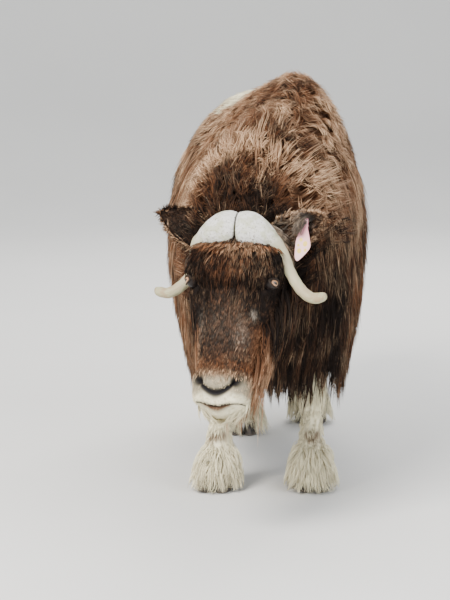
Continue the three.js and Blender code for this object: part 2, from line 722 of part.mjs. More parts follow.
// The fringe of the chest, hanging ahead of the forelegs
const CHEST_LOCK = { width: 92, thick: 14, ahead: 12, sway: 14, fall: 18 };
const CHEST_LOCKS = [
  { y: -152, xs: [-128, -62, 4, 70, 136], top: 500, low: 306 },
  { y: -186, xs: [-96, -30, 36, 102], top: 520, low: 350 },
];
function chestLocks(seed) {
  const draw = draws(seed);
  return CHEST_LOCKS.flatMap((row) =>
    row.xs.map((x) => {
      const low = row.low + CHEST_LOCK.fall * draw();
      const sway = CHEST_LOCK.sway * draw();
      const path = [0, 0.3, 0.6, 1].map((t) =>
        vec(x + sway * t, row.y - CHEST_LOCK.ahead * t, lerp(row.top, low, t)),
      );
      return lock(path, path.map(() => vec(0, -1, 0)), CHEST_LOCK.width, CHEST_LOCK.thick);
    }),
  );
}

const LEG_SEGMENTS = 12;
// The middle of a leg at a height
function legMiddle(leg, z) {
  const x = trend([...leg.path].reverse(), "z", "x")(z);
  const y = trend([...leg.path].reverse(), "z", "y")(z);
  return vec(leg.x + x * Math.sign(leg.x) + leg.lean * (z / LEG_TOP), leg.y + y, z);
}

function legRing(leg, z, grow = 0) {
  const rows = [...leg.path].reverse();
  const across = trend(rows, "z", "across")(z) + grow;
  const along = trend(rows, "z", "along")(z) + grow;
  const middle = legMiddle(leg, z);
  return Array.from({ length: LEG_SEGMENTS }, (_, k) => {
    const [out, ahead] = squircle(k / LEG_SEGMENTS, 2.2);
    const turned = vec(across * out, along * ahead, 0).applyAxisAngle(vec(0, 0, 1), rad(leg.turn));
    return middle.clone().add(turned);
  });
}

const THIGH_TOP = 520;
const THIGH_RING = 398; // z of the last full section of the part that belongs to the torso
const LEG_HEIGHTS = [352, 318, 280, 240, 200, 160, 116, 76];
// The top of a leg, which the torso holds
function thigh(leg) {
  const ring = legRing(leg, LEG_TOP);
  const upper = ring.map((p) => p.clone().lerp(legMiddle(leg, LEG_TOP), 0.2).setZ(THIGH_TOP));
  const lower = legRing(leg, THIGH_RING).map((p) => p.clone().setZ(LEG_JOIN + JOINT_GAP));
  return solid(loft([upper, ring, legRing(leg, THIGH_RING), lower]));
}

// A leg from its joint down to the hoof, or with grow the room that it needs in the coat
function legForm(leg, grow = 0) {
  const top = grow ? LEG_JOIN + JOINT_GAP : LEG_JOIN;
  const rings = [top, ...LEG_HEIGHTS, HOOF_TOP + JOINT_GAP].map((z) => legRing(leg, z, grow));
  return solid(loft(rings));
}

// One claw of a cloven hoof, on its flat sole
function claw(leg, side) {
  const half = HOOF.across / 2;
  const outline = ({ z, shrink, forward }) =>
    Array.from({ length: 10 }, (_, k) => {
      const [out, ahead] = squircle(k / 10, 2.3);
      const x = side * (HOOF.gap / 2 + half) + (half - shrink) * out;
      const y = -HOOF.ahead - forward + (HOOF.length / 2 - shrink) * -ahead;
      return vec(x, y, z);
    });
  const body = loft(HOOF_RINGS.map(outline));
  body.rotateZ(rad(leg.turn));
  body.translate(leg.x + (leg.lean * HOOF_TOP) / LEG_TOP, leg.y, 0);
  return solid(body);
}

// The long hair over the foot: flat locks that fan outwards and stay clear of the hoof
const FOOT_LOCKS = { count: 7, top: 150, low: 24, sink: 12, lift: [4, 15], width: 52, thick: 9 };
function footLocks(leg, seed) {
  const draw = draws(seed);
  return Array.from({ length: FOOT_LOCKS.count }, (_, k) => {
    const turn = (k + 0.5) / FOOT_LOCKS.count;
    const start = FOOT_LOCKS.top + 16 * draw();
    const path = [];
    const out = [];
    for (let i = 0; i <= 3; i++) {
      const t = i / 3;
      const z = lerp(start, FOOT_LOCKS.low, t);
      const held = Math.max(z, HOOF_TOP + 2);
      const ring = legRing(leg, held);
      const far = legRing(leg, held, 10);
      const place = (turn * LEG_SEGMENTS) % LEG_SEGMENTS;
      const low = Math.floor(place);
      const mix = (list) => list[low].clone().lerp(list[(low + 1) % LEG_SEGMENTS], place - low);
      const point = mix(ring);
      const normal = mix(far).sub(point).normalize();
      point.addScaledVector(normal, i ? lerp(...FOOT_LOCKS.lift, t) : -FOOT_LOCKS.sink).setZ(z);
      path.push(point);
      out.push(normal);
    }
    return lock(path, out, FOOT_LOCKS.width, FOOT_LOCKS.thick);
  });
}

// The tail: short, and lying between the locks of the rump
const TAIL = { y: 1188, top: 880, length: 130, half: 26 };
function tailForm(grow = 0) {
  const shares = [0, 0.25, 0.5, 0.75, 0.95];
  const rings = shares.map((t, i) => {
    const size = TAIL.half * Math.sqrt(1 - 0.8 * t * t);
    const end = i === 0 ? grow : i === shares.length - 1 ? -grow : 0;
    const middle = vec(0, TAIL.y + 16 * Math.sin(t * 2), TAIL.top - TAIL.length * t + end);
    return Array.from({ length: 10 }, (_, k) => {
      const [out, ahead] = squircle(k / 10, 2);
      return middle.clone().add(vec((size + grow) * out, (size * 0.8 + grow) * ahead, 0));
    });
  });
  return solid(loft(rings));
}

// The tag: a flat plate on a stem through the ear, and a button behind it
function tagForm(grow = 0) {
  const [round, flat] = TAG.button;
  const shape = new THREE.Shape(TAG.outline.map(([x, y]) => new THREE.Vector2(x, y)));
  const plate = new THREE.ExtrudeGeometry(shape, { depth: TAG.thick, bevelEnabled: false });
  plate.rotateX(rad(90));
  plate.translate(...TAG.at);
  const [x0, y0, z0] = TAG.at;
  const stem = new THREE.CylinderGeometry(TAG.stem + grow, TAG.stem + grow, TAG.reach, 12);
  stem.translate(x0, y0 - 1 + TAG.reach / 2, z0);
  const button = new THREE.CylinderGeometry(round, round, flat, 16);
  button.translate(x0, y0 + TAG.reach - 2, z0);
  return { plate: solid(plate), stem: solid(stem), button: solid(button) };
}

const root = new THREE.Group();
root.name = "muskox";
function node(name, body, colour, roughness = 0.9) {
  const material = new THREE.MeshStandardMaterial({ color: colour, roughness, metalness: 0 });
  const mesh = new THREE.Mesh(geometryOf(largest(body)), material);
  mesh.name = name;
  root.add(mesh);
}

// Which side is left, by the sign of X
const SIDES = [
  ["left", 1],
  ["right", -1],
];

const core = trunkCore();
// The head has all room in front of a plane at its back, and some behind it under the jaw
const jawRoom = (gap) =>
  inHead(block(vec(-FAR, -FAR, -FAR), vec(FAR, JAW_ROOM.back - gap, -JAW_ROOM.down - gap)));
const behindHead = halfSpace(HEAD_BACK, FAR, headMatrix).subtract(jawRoom(0));
const aheadOfNeck = halfSpace(-FAR, HEAD_BACK - JOINT_GAP, headMatrix).add(jawRoom(JOINT_GAP));
let headBody = fuse([headForm(), ...headLocks(31)]);
for (const [name, side] of SIDES) {
  const { shell, almond } = lids(side);
  headBody = headBody.add(shell).subtract(almond).subtract(eyeBall(side, JOINT_GAP));
  headBody = headBody.subtract(horn(side, SOCKET_GAP));
  const path = smoothPath(EAR[name], 7, ["half", "deep"]);
  headBody = headBody.subtract(earForm(path, -SOCKET_GAP, 0));
  const nostril = ball(
    NOSTRIL.size,
    [side * NOSTRIL.x, NOSTRIL.y, NOSTRIL.z],
    0,
    12,
    side * NOSTRIL.turn,
  );
  headBody = headBody.subtract(nostril);
}
const mouthPlate = new THREE.BoxGeometry(HEAD_ROOM, MOUTH.ahead + MOUTH.behind, MOUTH.tall);
mouthPlate.translate(0, (MOUTH.behind - MOUTH.ahead) / 2, 0);
mouthPlate.rotateX(rad(MOUTH.slope));
mouthPlate.translate(0, MOUTH.y, MOUTH.z);
headBody = headBody.subtract(solid(mouthPlate).subtract(headForm(-MOUTH.deep)));
headBody = inHead(headBody).intersect(aheadOfNeck);

const legStubs = LEGS.map(thigh);
const torsoSide = halfSpace(NECK_PLANE + JOINT_GAP, FAR);
const neckSide = halfSpace(-FAR, NECK_PLANE);
let torso = fuse([core, ...coatLocks(NECK_PLANE, REAR_END.y, 11)]).intersect(torsoSide);
torso = torso.add(fuse(legStubs)).subtract(tailForm(SOCKET_GAP));
for (const leg of LEGS) torso = torso.subtract(legForm(leg, SOCKET_GAP));
const neck = fuse([core, ...coatLocks(FRONT_END.y, NECK_PLANE, 23), ...chestLocks(57)])
  .intersect(neckSide)
  .intersect(behindHead);
node("torso", torso, colours.darkCoat);
node("neck", neck, colours.mane);
node("head", headBody, colours.face);
for (const [name, side] of SIDES) {
  node(`horn_${name}`, inHead(horn(side)), colours.horn, 0.5);
  node(`eye_${name}`, inHead(eyeBall(side)), colours.eye, 0.2);
}
const tag = tagForm();
const tagHole = tagForm(JOINT_GAP);
node("ear_left", inHead(ear(EAR.left).subtract(tagHole.stem)), colours.ear);
node("ear_right", inHead(ear(EAR.right)), colours.ear);
node("ear_tag", inHead(tag.plate.add(tag.stem).add(tag.button)), colours.tag, 0.5);
LEGS.forEach((leg, i) => {
  node(`leg_${leg.name}`, fuse([legForm(leg), ...footLocks(leg, 41 + i)]), colours.leg);
  for (const [name, side] of SIDES) {
    node(`hoof_${leg.name}_${name}`, claw(leg, side), colours.hoof, 0.6);
  }
});
node("tail", tailForm(), colours.darkCoat);

// The frame's origin goes to the middle of the floor under the animal
root.updateMatrixWorld(true);
const bounds = new THREE.Box3().setFromObject(root);
root.position.set(
  -(bounds.min.x + bounds.max.x) / 2,
  -(bounds.min.y + bounds.max.y) / 2,
  -bounds.min.z,
);

export default root;
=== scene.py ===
"""A muskox at life size, standing with its head lowered and turned: skin, coat, horns and feet.

Forms are worked out in millimetres in the animal's own frame: the floor point midway between the
forefeet, the animal facing -Y, its left side +X. Maker turns them into metres and moves them to
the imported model's frame.
"""

from __future__ import annotations

import logging
import math
from collections.abc import Callable
from dataclasses import dataclass, field, fields, replace
from enum import Enum
from types import SimpleNamespace
from typing import Any

import bpy
import numpy as np
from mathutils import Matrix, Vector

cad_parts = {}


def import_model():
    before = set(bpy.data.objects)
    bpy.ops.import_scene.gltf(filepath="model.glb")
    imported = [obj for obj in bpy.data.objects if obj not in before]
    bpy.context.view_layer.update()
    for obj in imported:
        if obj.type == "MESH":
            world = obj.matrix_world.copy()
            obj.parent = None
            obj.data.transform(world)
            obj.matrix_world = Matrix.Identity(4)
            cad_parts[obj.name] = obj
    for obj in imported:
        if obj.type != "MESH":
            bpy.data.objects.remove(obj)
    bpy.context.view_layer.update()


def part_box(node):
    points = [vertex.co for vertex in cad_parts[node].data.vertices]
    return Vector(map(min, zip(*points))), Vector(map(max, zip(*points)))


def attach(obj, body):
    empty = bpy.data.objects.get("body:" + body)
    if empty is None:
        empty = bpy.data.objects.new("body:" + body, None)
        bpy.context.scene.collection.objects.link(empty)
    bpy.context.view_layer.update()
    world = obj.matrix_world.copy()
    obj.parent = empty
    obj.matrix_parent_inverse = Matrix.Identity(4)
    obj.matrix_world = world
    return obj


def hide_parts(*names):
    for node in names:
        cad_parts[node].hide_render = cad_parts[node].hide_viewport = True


LOG = logging.getLogger("muskox")
Array = np.ndarray
Real = Array | float
Point = tuple[float, float, float]
Colour = tuple[float, float, float, float]
MM = 0.001
PATCH = 0.003  # how wide a tuft is on the coat's unwrap
MOST = 190_000  # triangles in one piece of the coat
LEVEL = np.array([0.0, 0.0, -1.0])  # the way straight down


class Side(Enum):
    """Which side of the animal, by the sign of X."""

    LEFT = 1
    RIGHT = -1

    @property
    def word(self) -> str:
        """Return the side as names have it."""
        return self.name.lower()


def lerp(low: Any, high: Any, share: Any) -> Any:
    """Return the value that lies a share of the way from low to high."""
    return low + (high - low) * share


def ease(value: Real, low: float, high: float) -> Array:
    """Return 0 below low and 1 above high, with 3t^2 - 2t^3 between them."""
    t = np.clip((value - low) / (high - low), 0.0, 1.0)
    return t * t * (3.0 - 2.0 * t)


def bell(value: Real, middle: Real, width: Real, power: int = 2) -> Array:
    """Return exp(-((value - middle) / width)^power)."""
    return np.exp(-(((value - middle) / width) ** power))


def spot(values: tuple[Array, ...], at: tuple[float, ...], size: tuple[float, ...], power: int = 1) -> Array:
    """Return exp(-s^power), where s is the sum of ((value - at) / size)^2."""
    return np.exp(-(sum(((v - a) / w) ** 2 for v, a, w in zip(values, at, size)) ** power))


def unit(vectors: Array) -> Array:
    """Return the vectors at length 1."""
    return vectors / np.maximum(np.linalg.norm(vectors, axis=-1, keepdims=True), 1e-9)


def grow_power(value: Array, power: Real) -> Array:
    """Return sign(v) |v|^(2 / power), the rounding of a superellipse."""
    return np.sign(value) * np.abs(value) ** (2.0 / power)


def stack(*values: Real) -> Array:
    """Return values, spread to one shape, as the last axis of an array."""
    return np.stack(np.broadcast_arrays(*values), -1)


def shares(count: int) -> Array:
    """Return a row of the shares of a turn at places evenly round it."""
    return (np.arange(count) / count)[None, :]


def folded(points: Array) -> tuple[Array, Array, Array]:
    """Return the points' X without its sign, their Y and their Z."""
    return np.abs(points[..., 0]), points[..., 1], points[..., 2]


def lengths(lines: Array) -> Array:
    """Return how far along its line each point is."""
    steps = np.linalg.norm(np.diff(lines, axis=-2), axis=-1)
    return np.concatenate([0 * steps[..., :1], np.cumsum(steps, axis=-1)], axis=-1)


def turning(degrees: float, axis: int) -> Array:
    """Return the matrix of a turn about an axis."""
    matrix = np.eye(3)
    a, b = (axis + 1) % 3, (axis + 2) % 3
    matrix[a, a] = matrix[b, b] = math.cos(math.radians(degrees))
    matrix[b, a] = math.sin(math.radians(degrees))
    matrix[a, b] = -matrix[b, a]
    return matrix


def blend(grid: Array, i: Array, j: Array, k: Array, u: Array, v: Array) -> Array:
    """Return values a share u of the way from row i to the next, and v from column j to k."""
    return lerp(lerp(grid[i, j], grid[i, k], v), lerp(grid[i + 1, j], grid[i + 1, k], v), u)


class Table:
    """Smooth curves through the named columns of a table.

    Between two rows a curve is a cubic that leaves each one at the slope between its neighbours.
    """

    def __init__(self, names: str, rows: Any, even: bool = False) -> None:
        """Take the rows, the first column telling where each is, unless they lie evenly from 0 to 1."""
        rows = np.asarray(rows, float)
        self.names = names.split()
        self.x = np.linspace(0, 1, len(rows)) if even else rows[:, 0]
        self.v = rows if even else rows[:, 1:]
        index = np.arange(len(rows))
        low, high = np.maximum(index - 1, 0), np.minimum(index + 1, len(rows) - 1)
        self.slope = (self.v[high] - self.v[low]) / (self.x[high] - self.x[low])[:, None]

    def __call__(self, place: Array) -> SimpleNamespace:
        """Return the value of each column at the places."""
        inside = np.clip(place, self.x[0], self.x[-1])
        i = np.clip(np.searchsorted(self.x, inside) - 1, 0, len(self.x) - 2)
        span = (self.x[i + 1] - self.x[i])[..., None]
        t = (inside - self.x[i])[..., None] / span
        value = self.v[i] * (2 * t**3 - 3 * t**2 + 1) + self.v[i + 1] * (3 * t**2 - 2 * t**3)
        value += self.slope[i] * span * (t**3 - 2 * t**2 + t)
        value += self.slope[i + 1] * span * (t**3 - t**2)
        return SimpleNamespace(**{name: value[..., n] for n, name in enumerate(self.names)})


@dataclass
class Roots:
    """Where tufts start, the ways they are laid, and what their colours need."""

    points: Array
    out: Array
    flow: Array
    marks: Array
    grey: Array
    uv: Array


@dataclass
class Sheet:
    """A surface as a grid that closes round its columns.

    marks holds brownness, rust, blond tips and cream, the blond tips partly painted sheen; extra holds
    bareness and greyness, on the bridge of the nose painted sheen.
    """

    points: Array
    uv: Array
    marks: Array
    flip: bool = False
    extra: Array = field(default_factory=lambda: np.zeros(2))

    def __post_init__(self) -> None:
        """Spread the last values over the grid."""
        self.extra = self.extra + np.zeros(self.points.shape[:2] + (2,))

    def normals(self) -> Array:
        """Return the ways out: down the rows crossed with round the columns."""
        down = np.gradient(self.points, axis=0)
        around = np.roll(self.points, -1, axis=1) - np.roll(self.points, 1, axis=1)
        out = unit(np.cross(around, down))
        return -out if self.flip else out

    def scatter(self, rng: np.random.Generator, count: int, weight: Array, flow: Array) -> Roots:
        """Draw places on the sheet, more of them where a cell is large and its weight is high.

        Args:
            rng: The source of chance.
            count: How many places.
            weight: A weight at each point of the grid.
            flow: The way hair is laid at each point of the grid.

        Returns:
            The places, with the sheet's values mixed from the four corners of each cell.
        """
        columns = weight.shape[1]
        down = np.linalg.norm(np.diff(self.points, axis=0), axis=-1)
        wide = np.linalg.norm(np.roll(self.points, -1, axis=1) - self.points, axis=-1)[:-1]
        chance = (down * wide * weight[:-1]).ravel()
        cell = rng.choice(len(chance), size=count, p=chance / chance.sum())
        i, j = cell // columns, cell % columns
        u, v = rng.random((2, count, 1))
        k = (j + 1) % columns
        grids = (self.points, self.normals(), flow, self.marks, self.extra)
        points, out, way, marks, extra = (blend(grid, i, j, k, u, v) for grid in grids)
        uv = blend(self.uv, i, j, np.where(k == 0, columns - 1, k), u, v)
        return Roots(points, unit(out), unit(way), marks, extra[:, 1], uv)


# Solids of triangles and squares
def closed_grid(rows: int, columns: int) -> Array:
    """Return the faces of a grid that closes round its columns and has a fan at either end.

    Point (row, column) has the number row * columns + column, and the two hubs follow. A fan's
    triangle repeats its hub to make up a row of four.
    """
    r, c = np.meshgrid(np.arange(rows - 1), np.arange(columns), indexing="ij")
    a, b = r * columns + c, r * columns + (c + 1) % columns
    sides = stack(a, b, b + columns, a + columns).reshape(-1, 4)
    c = np.arange(columns)
    d, last, hub = (c + 1) % columns, (rows - 1) * columns, rows * columns
    return np.concatenate([sides, stack(d, c, hub, hub), stack(last + c, last + d, hub + 1, hub + 1)])


def with_hubs(grid: Array) -> Array:
    """Return a grid's values as a list, with the means of its first and last rows at its end."""
    flat = grid.reshape(-1, grid.shape[-1])
    return np.concatenate([flat, grid[:1].mean(axis=1), grid[-1:].mean(axis=1)])


def turn_out(points: Array, faces: Array) -> Array:
    """Return the faces of a closed surface turned so that they look outwards."""
    a, b, c, d = (points[faces[:, i]] for i in range(4))
    if (a * np.cross(b, c)).sum() + (a * np.cross(c, d)).sum() >= 0:
        return faces
    three = faces[:, 2] == faces[:, 3]
    return np.where(three[:, None], faces[:, [1, 0, 2, 3]], faces[:, [1, 0, 3, 2]])


@dataclass
class Maker:
    """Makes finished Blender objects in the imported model's frame."""

    shift: Array

    def place(self, name: str, slot: str, finish: bpy.types.Material, points: Array, faces: Array,
              layers: dict[str, Array]) -> bpy.types.Object:
        """Put points in millimetres and their faces into a new object, which rides on the animal.

        Args:
            name: The object's name.
            slot: What it is made of; not used.
            finish: Its material.
            points: The points in the animal's frame.
            faces: Rows of four corners; a row whose last two are alike is a triangle.
            layers: Attributes of four numbers a point, or the unwrap as two numbers a point.

        Returns:
            The linked object.
        """
        mesh = bpy.data.meshes.new(name)
        three = faces[:, 2] == faces[:, 3]
        keep = np.ones(faces.shape, bool)
        keep[:, 3] = ~three
        corners = faces[keep].astype(np.int32)
        starts = np.concatenate([[0], np.cumsum(np.where(three, 3, 4))[:-1]])
        mesh.vertices.add(len(points))
        mesh.vertices.foreach_set("co", (points * MM + self.shift).astype(np.float32).ravel())
        mesh.loops.add(len(corners))
        mesh.loops.foreach_set("vertex_index", corners)
        mesh.polygons.add(len(faces))
        mesh.polygons.foreach_set("loop_start", starts.astype(np.int32))
        mesh.polygons.foreach_set("use_smooth", np.ones(len(faces), bool))
        mesh.update(calc_edges=True)
        thing = add_object(name, mesh)
        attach(thing, "root")
        for key, values in layers.items():
            if key == "OFBake":
                layer, kind, values = mesh.uv_layers.new(name=key), "uv", values[corners]
            else:
                layer, kind = mesh.attributes.new(key, "FLOAT_COLOR", "POINT"), "color"
            layer.data.foreach_set(kind, values.astype(np.float32).ravel())
        mesh.materials.append(finish)
        LOG.info("%s: %d faces", name, len(faces))
        return thing

    def shells(self, name: str, slot: str, finish: bpy.types.Material, grids: list[dict[str, Array]],
               nodes: list[str]) -> None:
        """Join closed grids into one object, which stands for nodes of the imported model.

        Each grid gives its points and its layers under their names.
        """
        first, faces = 0, []
        for grid in grids:
            shell = with_hubs(grid["points"])
            corners = closed_grid(*grid["points"].shape[:2])
            faces.append(turn_out(shell - shell.mean(axis=0), corners) + first)
            first += len(shell)
        layers = {key: np.concatenate([with_hubs(grid[key]) for grid in grids]) for key in grids[0]}
        points = layers.pop("points")
        thing = self.place(name, slot, finish, points, np.concatenate(faces), layers)
        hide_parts(*nodes)


def add_object(name: str, data: Any) -> bpy.types.Object:
    """Return a new object of the scene."""
    thing = bpy.data.objects.new(name, data)
    bpy.context.scene.collection.objects.link(thing)
    return thing


# The trunk
STATIONS = Table("top lean wide half hem hem_half mid crown", (
    (-410, 900, -100, 760, 110, 560, 84, -98, 2),
    (-320, 1010, -84, 800, 178, 450, 125, -78, 1.9),
    (-200, 1125, -45, 810, 228, 345, 165, -32, 1.8),
    (-60, 1215, 38, 790, 248, 300, 190, 0, 1.7),
    (110, 1278, 84, 765, 266, 278, 216, 4, 1.65),
    (280, 1242, 48, 740, 298, 286, 232, 8, 1.75),
    (480, 1195, 8, 730, 312, 298, 238, 8, 1.85),
    (700, 1185, 0, 730, 308, 306, 232, 5, 1.9),
    (900, 1155, 0, 750, 290, 326, 216, 0, 2),
    (1080, 1075, 0, 760, 262, 352, 196, 0, 2),
    (1235, 940, 0, 750, 232, 392, 170, 0, 2),
))


@dataclass
class Trunk:
    """The outline of the long coat over the trunk and neck, and the skin inside it.

    STATIONS gives the outline at places along the back. front and rear say where the coat ends
    and where it starts to close; longest is how far down the crest's lines are followed.
    """

    front: tuple[float, float] = (-410.0, -330.0)
    rear: tuple[float, float] = (1235.0, 960.0)
    belly: float = 500.0
    inset: float = 42.0
    step: float = 8.0
    longest: float = 1500.0
    fringe: float = 45.0

    def closing(self, y: Array) -> Array:
        """Return 1 along the body, falling as a quarter of an ellipse to 0 at either end."""
        closed = 1.0
        for end, start in (self.rear, self.front):
            closed = closed * np.sqrt(np.maximum(1 - np.clip((y - start) / (end - start), 0, 1) ** 2, 0))
        return closed

    def section(self, y: Array, side: int, share: Array) -> Array:
        """Return points of one side of the outline.

        From share 0 at the crest to 1 at the widest height it is a quarter of a superellipse,
        and from 1 to 2 at the hem it draws in as the square of the fall.
        """
        c = STATIONS(y)
        closed = self.closing(y)
        angle = np.clip(share, 0, 1) * np.pi / 2
        out, up = grow_power(np.sin(angle), c.crown), grow_power(np.cos(angle), c.crown)
        half = c.half * closed
        fall = np.maximum(share - 1, 0)
        upper_x = lerp(c.mid, c.lean, up) + side * half * out
        lower_x = c.mid + side * lerp(half, c.hem_half * closed, np.minimum(fall, 1) ** 2)
        x = np.where(share > 1, lower_x, upper_x)
        z = np.where(share > 1, lerp(c.wide, c.hem, fall), lerp(c.wide, c.top, up))
        return stack(x, y, z)

    def __post_init__(self) -> None:
        """Lay the outline out by lengths: along the plan of the body, and down from the crest.

        The table has the left side's rows and then the right side's.
        """
        t = np.linspace(0, 1, 4000)
        fine = lerp(self.front[0], self.rear[0], lerp(t, (1 - np.cos(np.pi * t)) / 2, 0.6))
        length = lengths(stack(STATIONS(fine).half * self.closing(fine), fine))
        self.plan = float(length[-1])
        ys = np.interp(np.arange(0, self.plan, self.step), length, fine)
        runs = np.arange(0, self.longest, self.step)
        sheets, hems = [], []
        for side in (1, -1):
            lines = self.section(ys[:, None], side, np.linspace(0, 2, 161))
            gone = lengths(lines)
            sheet = stack(*([np.interp(runs, far, line[:, axis]) for far, line in zip(gone, lines)]
                            for axis in range(3)))
            sheet[:, :, 2] -= np.maximum(runs - gone[:, -1:], 0)
            sheets.append(sheet)
            hems.append(gone[:, -1])
        table = np.stack(sheets)
        normals = np.cross(np.gradient(table, axis=2), np.gradient(table, axis=1))
        normals[1] *= -1
        normals = unit(normals)
        for _ in range(3):
            normals[:, 1:-1] += normals[:, :-2] + normals[:, 2:]
            normals[:, :, 1:-1] += normals[:, :, :-2] + normals[:, :, 2:]
            normals = unit(normals)
        self.ys, self.rows = table[0, :, 0, 1], len(ys)
        self.hem_runs = np.stack(hems)
        self.table, self.normals = (grid.reshape(-1, len(runs), 3) for grid in (table, normals))

    def at(self, side: Array, place: Array, run: Array) -> tuple[Array, Array]:
        """Return points of the outline and the ways out of it there.

        Args:
            side: 0 on the animal's left and 1 on its right.
            place: Length along the plan from the throat.
            run: Length down from the crest.
        """
        p = np.clip(place / self.step, 0, self.rows - 1.001)
        r = np.clip(run / self.step, 0, self.table.shape[1] - 1.001)
        i, j = p.astype(int), r.astype(int)
        u, v = (p - i)[..., None], (r - j)[..., None]
        i = i + side * self.rows
        return blend(self.table, i, j, j + 1, u, v), unit(blend(self.normals, i, j, j + 1, u, v))

    def place_of(self, y: Any) -> Array:
        """Return the length along the plan at places along the back."""
        return np.interp(y, self.ys, np.arange(self.rows) * self.step)

    def marks(self, side: Array, point: Array, run: Array) -> Array:
        """Return the coat's colours: brownness, rust, blond tips and cream, each from 0 to 1. The blond tips
        are partly painted sheen.
        """
        y, z = point[..., 1], point[..., 2]
        across = np.where(side == 1, -run, run)
        wool = ease(430 - y, 0, 160) * ease(z, 760, 1000) * ease(540 - run, 0, 190)
        fold = -228 - 34 * bell(across, 70, 60) + 0.42 * np.maximum(across - 130, 0)
        ridge = bell(y, fold, 26) * ease(330 - run, 0, 90) + bell(y, 60, 90) * bell(across, 130, 60)
        ridge = ridge + 0.7 * bell(y, -130 + 0.75 * (across - 64), 30) * ease(across, 10, 70)
        dim = 0.7 * ease(fold - 22 - y, 0, 50) + ease(-y, 320, 350) + 0.8 * bell(y, fold + 58, 26)
        dim = np.clip(dim + 0.8 * bell(y, -30, 60) * bell(across, -30, 60), 0, 1)
        ragged = 26 * np.sin(y / 41) + 17 * np.sin(y / 19 + side)
        saddle = 1.3 * ease(y, 300, 480) * ease(1030 - y, 0, 240)
        saddle = saddle * ease(160 + 25 * side + ragged - run, 0, 130)
        back = ease(y, 240, 380) * ease(1130 - y, 0, 240) * ease(350 - run, 0, 170)
        chest = ease(20 - y, 0, 190) * ease(900 - z, 0, 170) * ease(run, 250, 380)
        # Painted shade: the chest is darker on the animal's left only, the side away from the key light.
        shaded_left_chest = chest * (1 - side)
        low = ease(600 - z, 0, 250)
        rump = ease(y, 820, 1050) * ease(420 - run, 0, 200)
        ray = bell(across, 175, 80) * ease(fold + 20 - y, 0, 40) * ease(y, -350, -290)
        throat = ease(-y, 320, 360)
        crest = bell(y, 60, 70) * bell(across, -35, 55) + 0.8 * throat
        mane = bell(across, 235, 85) * ease(-50 - y, 0, 70) * ease(y, -270, -215)
        # Painted light: side is 1 on the animal's right, whose coat is painted a little browner and blonder.
        brown = 0.26 + 0.20 * wool - 0.08 * low - 0.34 * shaded_left_chest + 0.34 * back + 0.3 * saddle
        brown += (0.45 * ridge - 0.3 * dim) * wool + 0.1 * side + 0.35 * ray - 0.25 * crest + 0.30 * mane
        rust = 0.48 + 0.08 * wool - 0.1 * low - 0.40 * shaded_left_chest - 0.16 * back - 0.3 * throat
        blond = 0.12 + 0.20 * wool + 0.42 * back + (0.9 * ridge - 0.4 * dim) * wool - 0.1 * chest
        blond += 0.12 * side - 0.1 * rump + 0.55 * ray - 0.2 * crest + 0.38 * mane
        return np.clip(stack(brown, rust, blond, saddle), 0, 1)

    def uv(self, side: Array, place: Array, run: Array) -> Array:
        """Return places on the unwrap: each side a sheet of its own, crest at the top."""
        across = 0.01 + 0.48 * place / self.plan + 0.5 * side
        return stack(across, 0.99 - 0.56 * np.clip(run / 1250, 0, 1))

    def skin(self, rows: int = 150, columns: int = 72) -> Sheet:
        """Return the skin of trunk and neck: the outline drawn in towards its middle."""
        t = np.linspace(0, 1, rows)
        t = lerp(t, (1 - np.cos(np.pi * t)) / 2, 0.5)[:, None]
        y = lerp(self.front[0] + self.inset, self.rear[0] - self.inset, t)
        c = STATIONS(y)
        lowest = lerp(c.hem, self.belly + np.maximum(0, c.hem - 400) * 0.6, 0.56)
        half = columns // 2
        share = (1 + (c.wide - lowest) / (c.wide - c.hem)) * np.linspace(0, 1, half + 1)
        lines = []
        for side in (1, -1):
            point = self.section(lerp(self.front[0] + 3, self.rear[0] - 3, t), side, share)
            middle = lerp(c.mid, c.lean, np.clip(1 - share, 0, 1))
            outward = stack(point[..., 0] - middle, 0, (point[..., 2] - c.wide) * (share < 1))
            size = np.maximum(np.linalg.norm(outward, axis=-1, keepdims=True), 1.0)
            point = point - outward / size * np.minimum(self.inset, size * 0.9)
            point[..., 1] = y
            lines.append(point)
        grid = np.concatenate([lines[0], lines[1][:, -2:0:-1]], axis=1)
        run = lengths(lines[0])
        run = np.concatenate([run, run[:, -2:0:-1]], axis=1)
        side = np.broadcast_to(np.arange(columns) > half, run.shape).astype(int)
        return Sheet(grid, self.uv(side, self.place_of(grid[..., 1]), run), self.marks(side, grid, run))


# The head
FACE = 586.0
HEAD = Table("half front back square", np.transpose((
    (2, 30, 84, 128, 172, 220, 275, 335, 405, 455, 505, 545, 572, FACE),
    (76, 112, 142, 150, 149, 142, 128, 112, 95, 84, 84, 80, 64, 40),
    (-22, -50, -82, -106, -110, -103, -95, -88, -87, -92, -98, -88, -68, -46),
    (84, 110, 130, 142, 152, 158, 156, 138, 108, 84, 68, 56, 42, 20),
    (2, 2.1, 2.2, 2.4, 2.4, 2.2, 2.1, 2.1, 2.3, 2.5, 2.6, 2.5, 2.3, 2),
)))


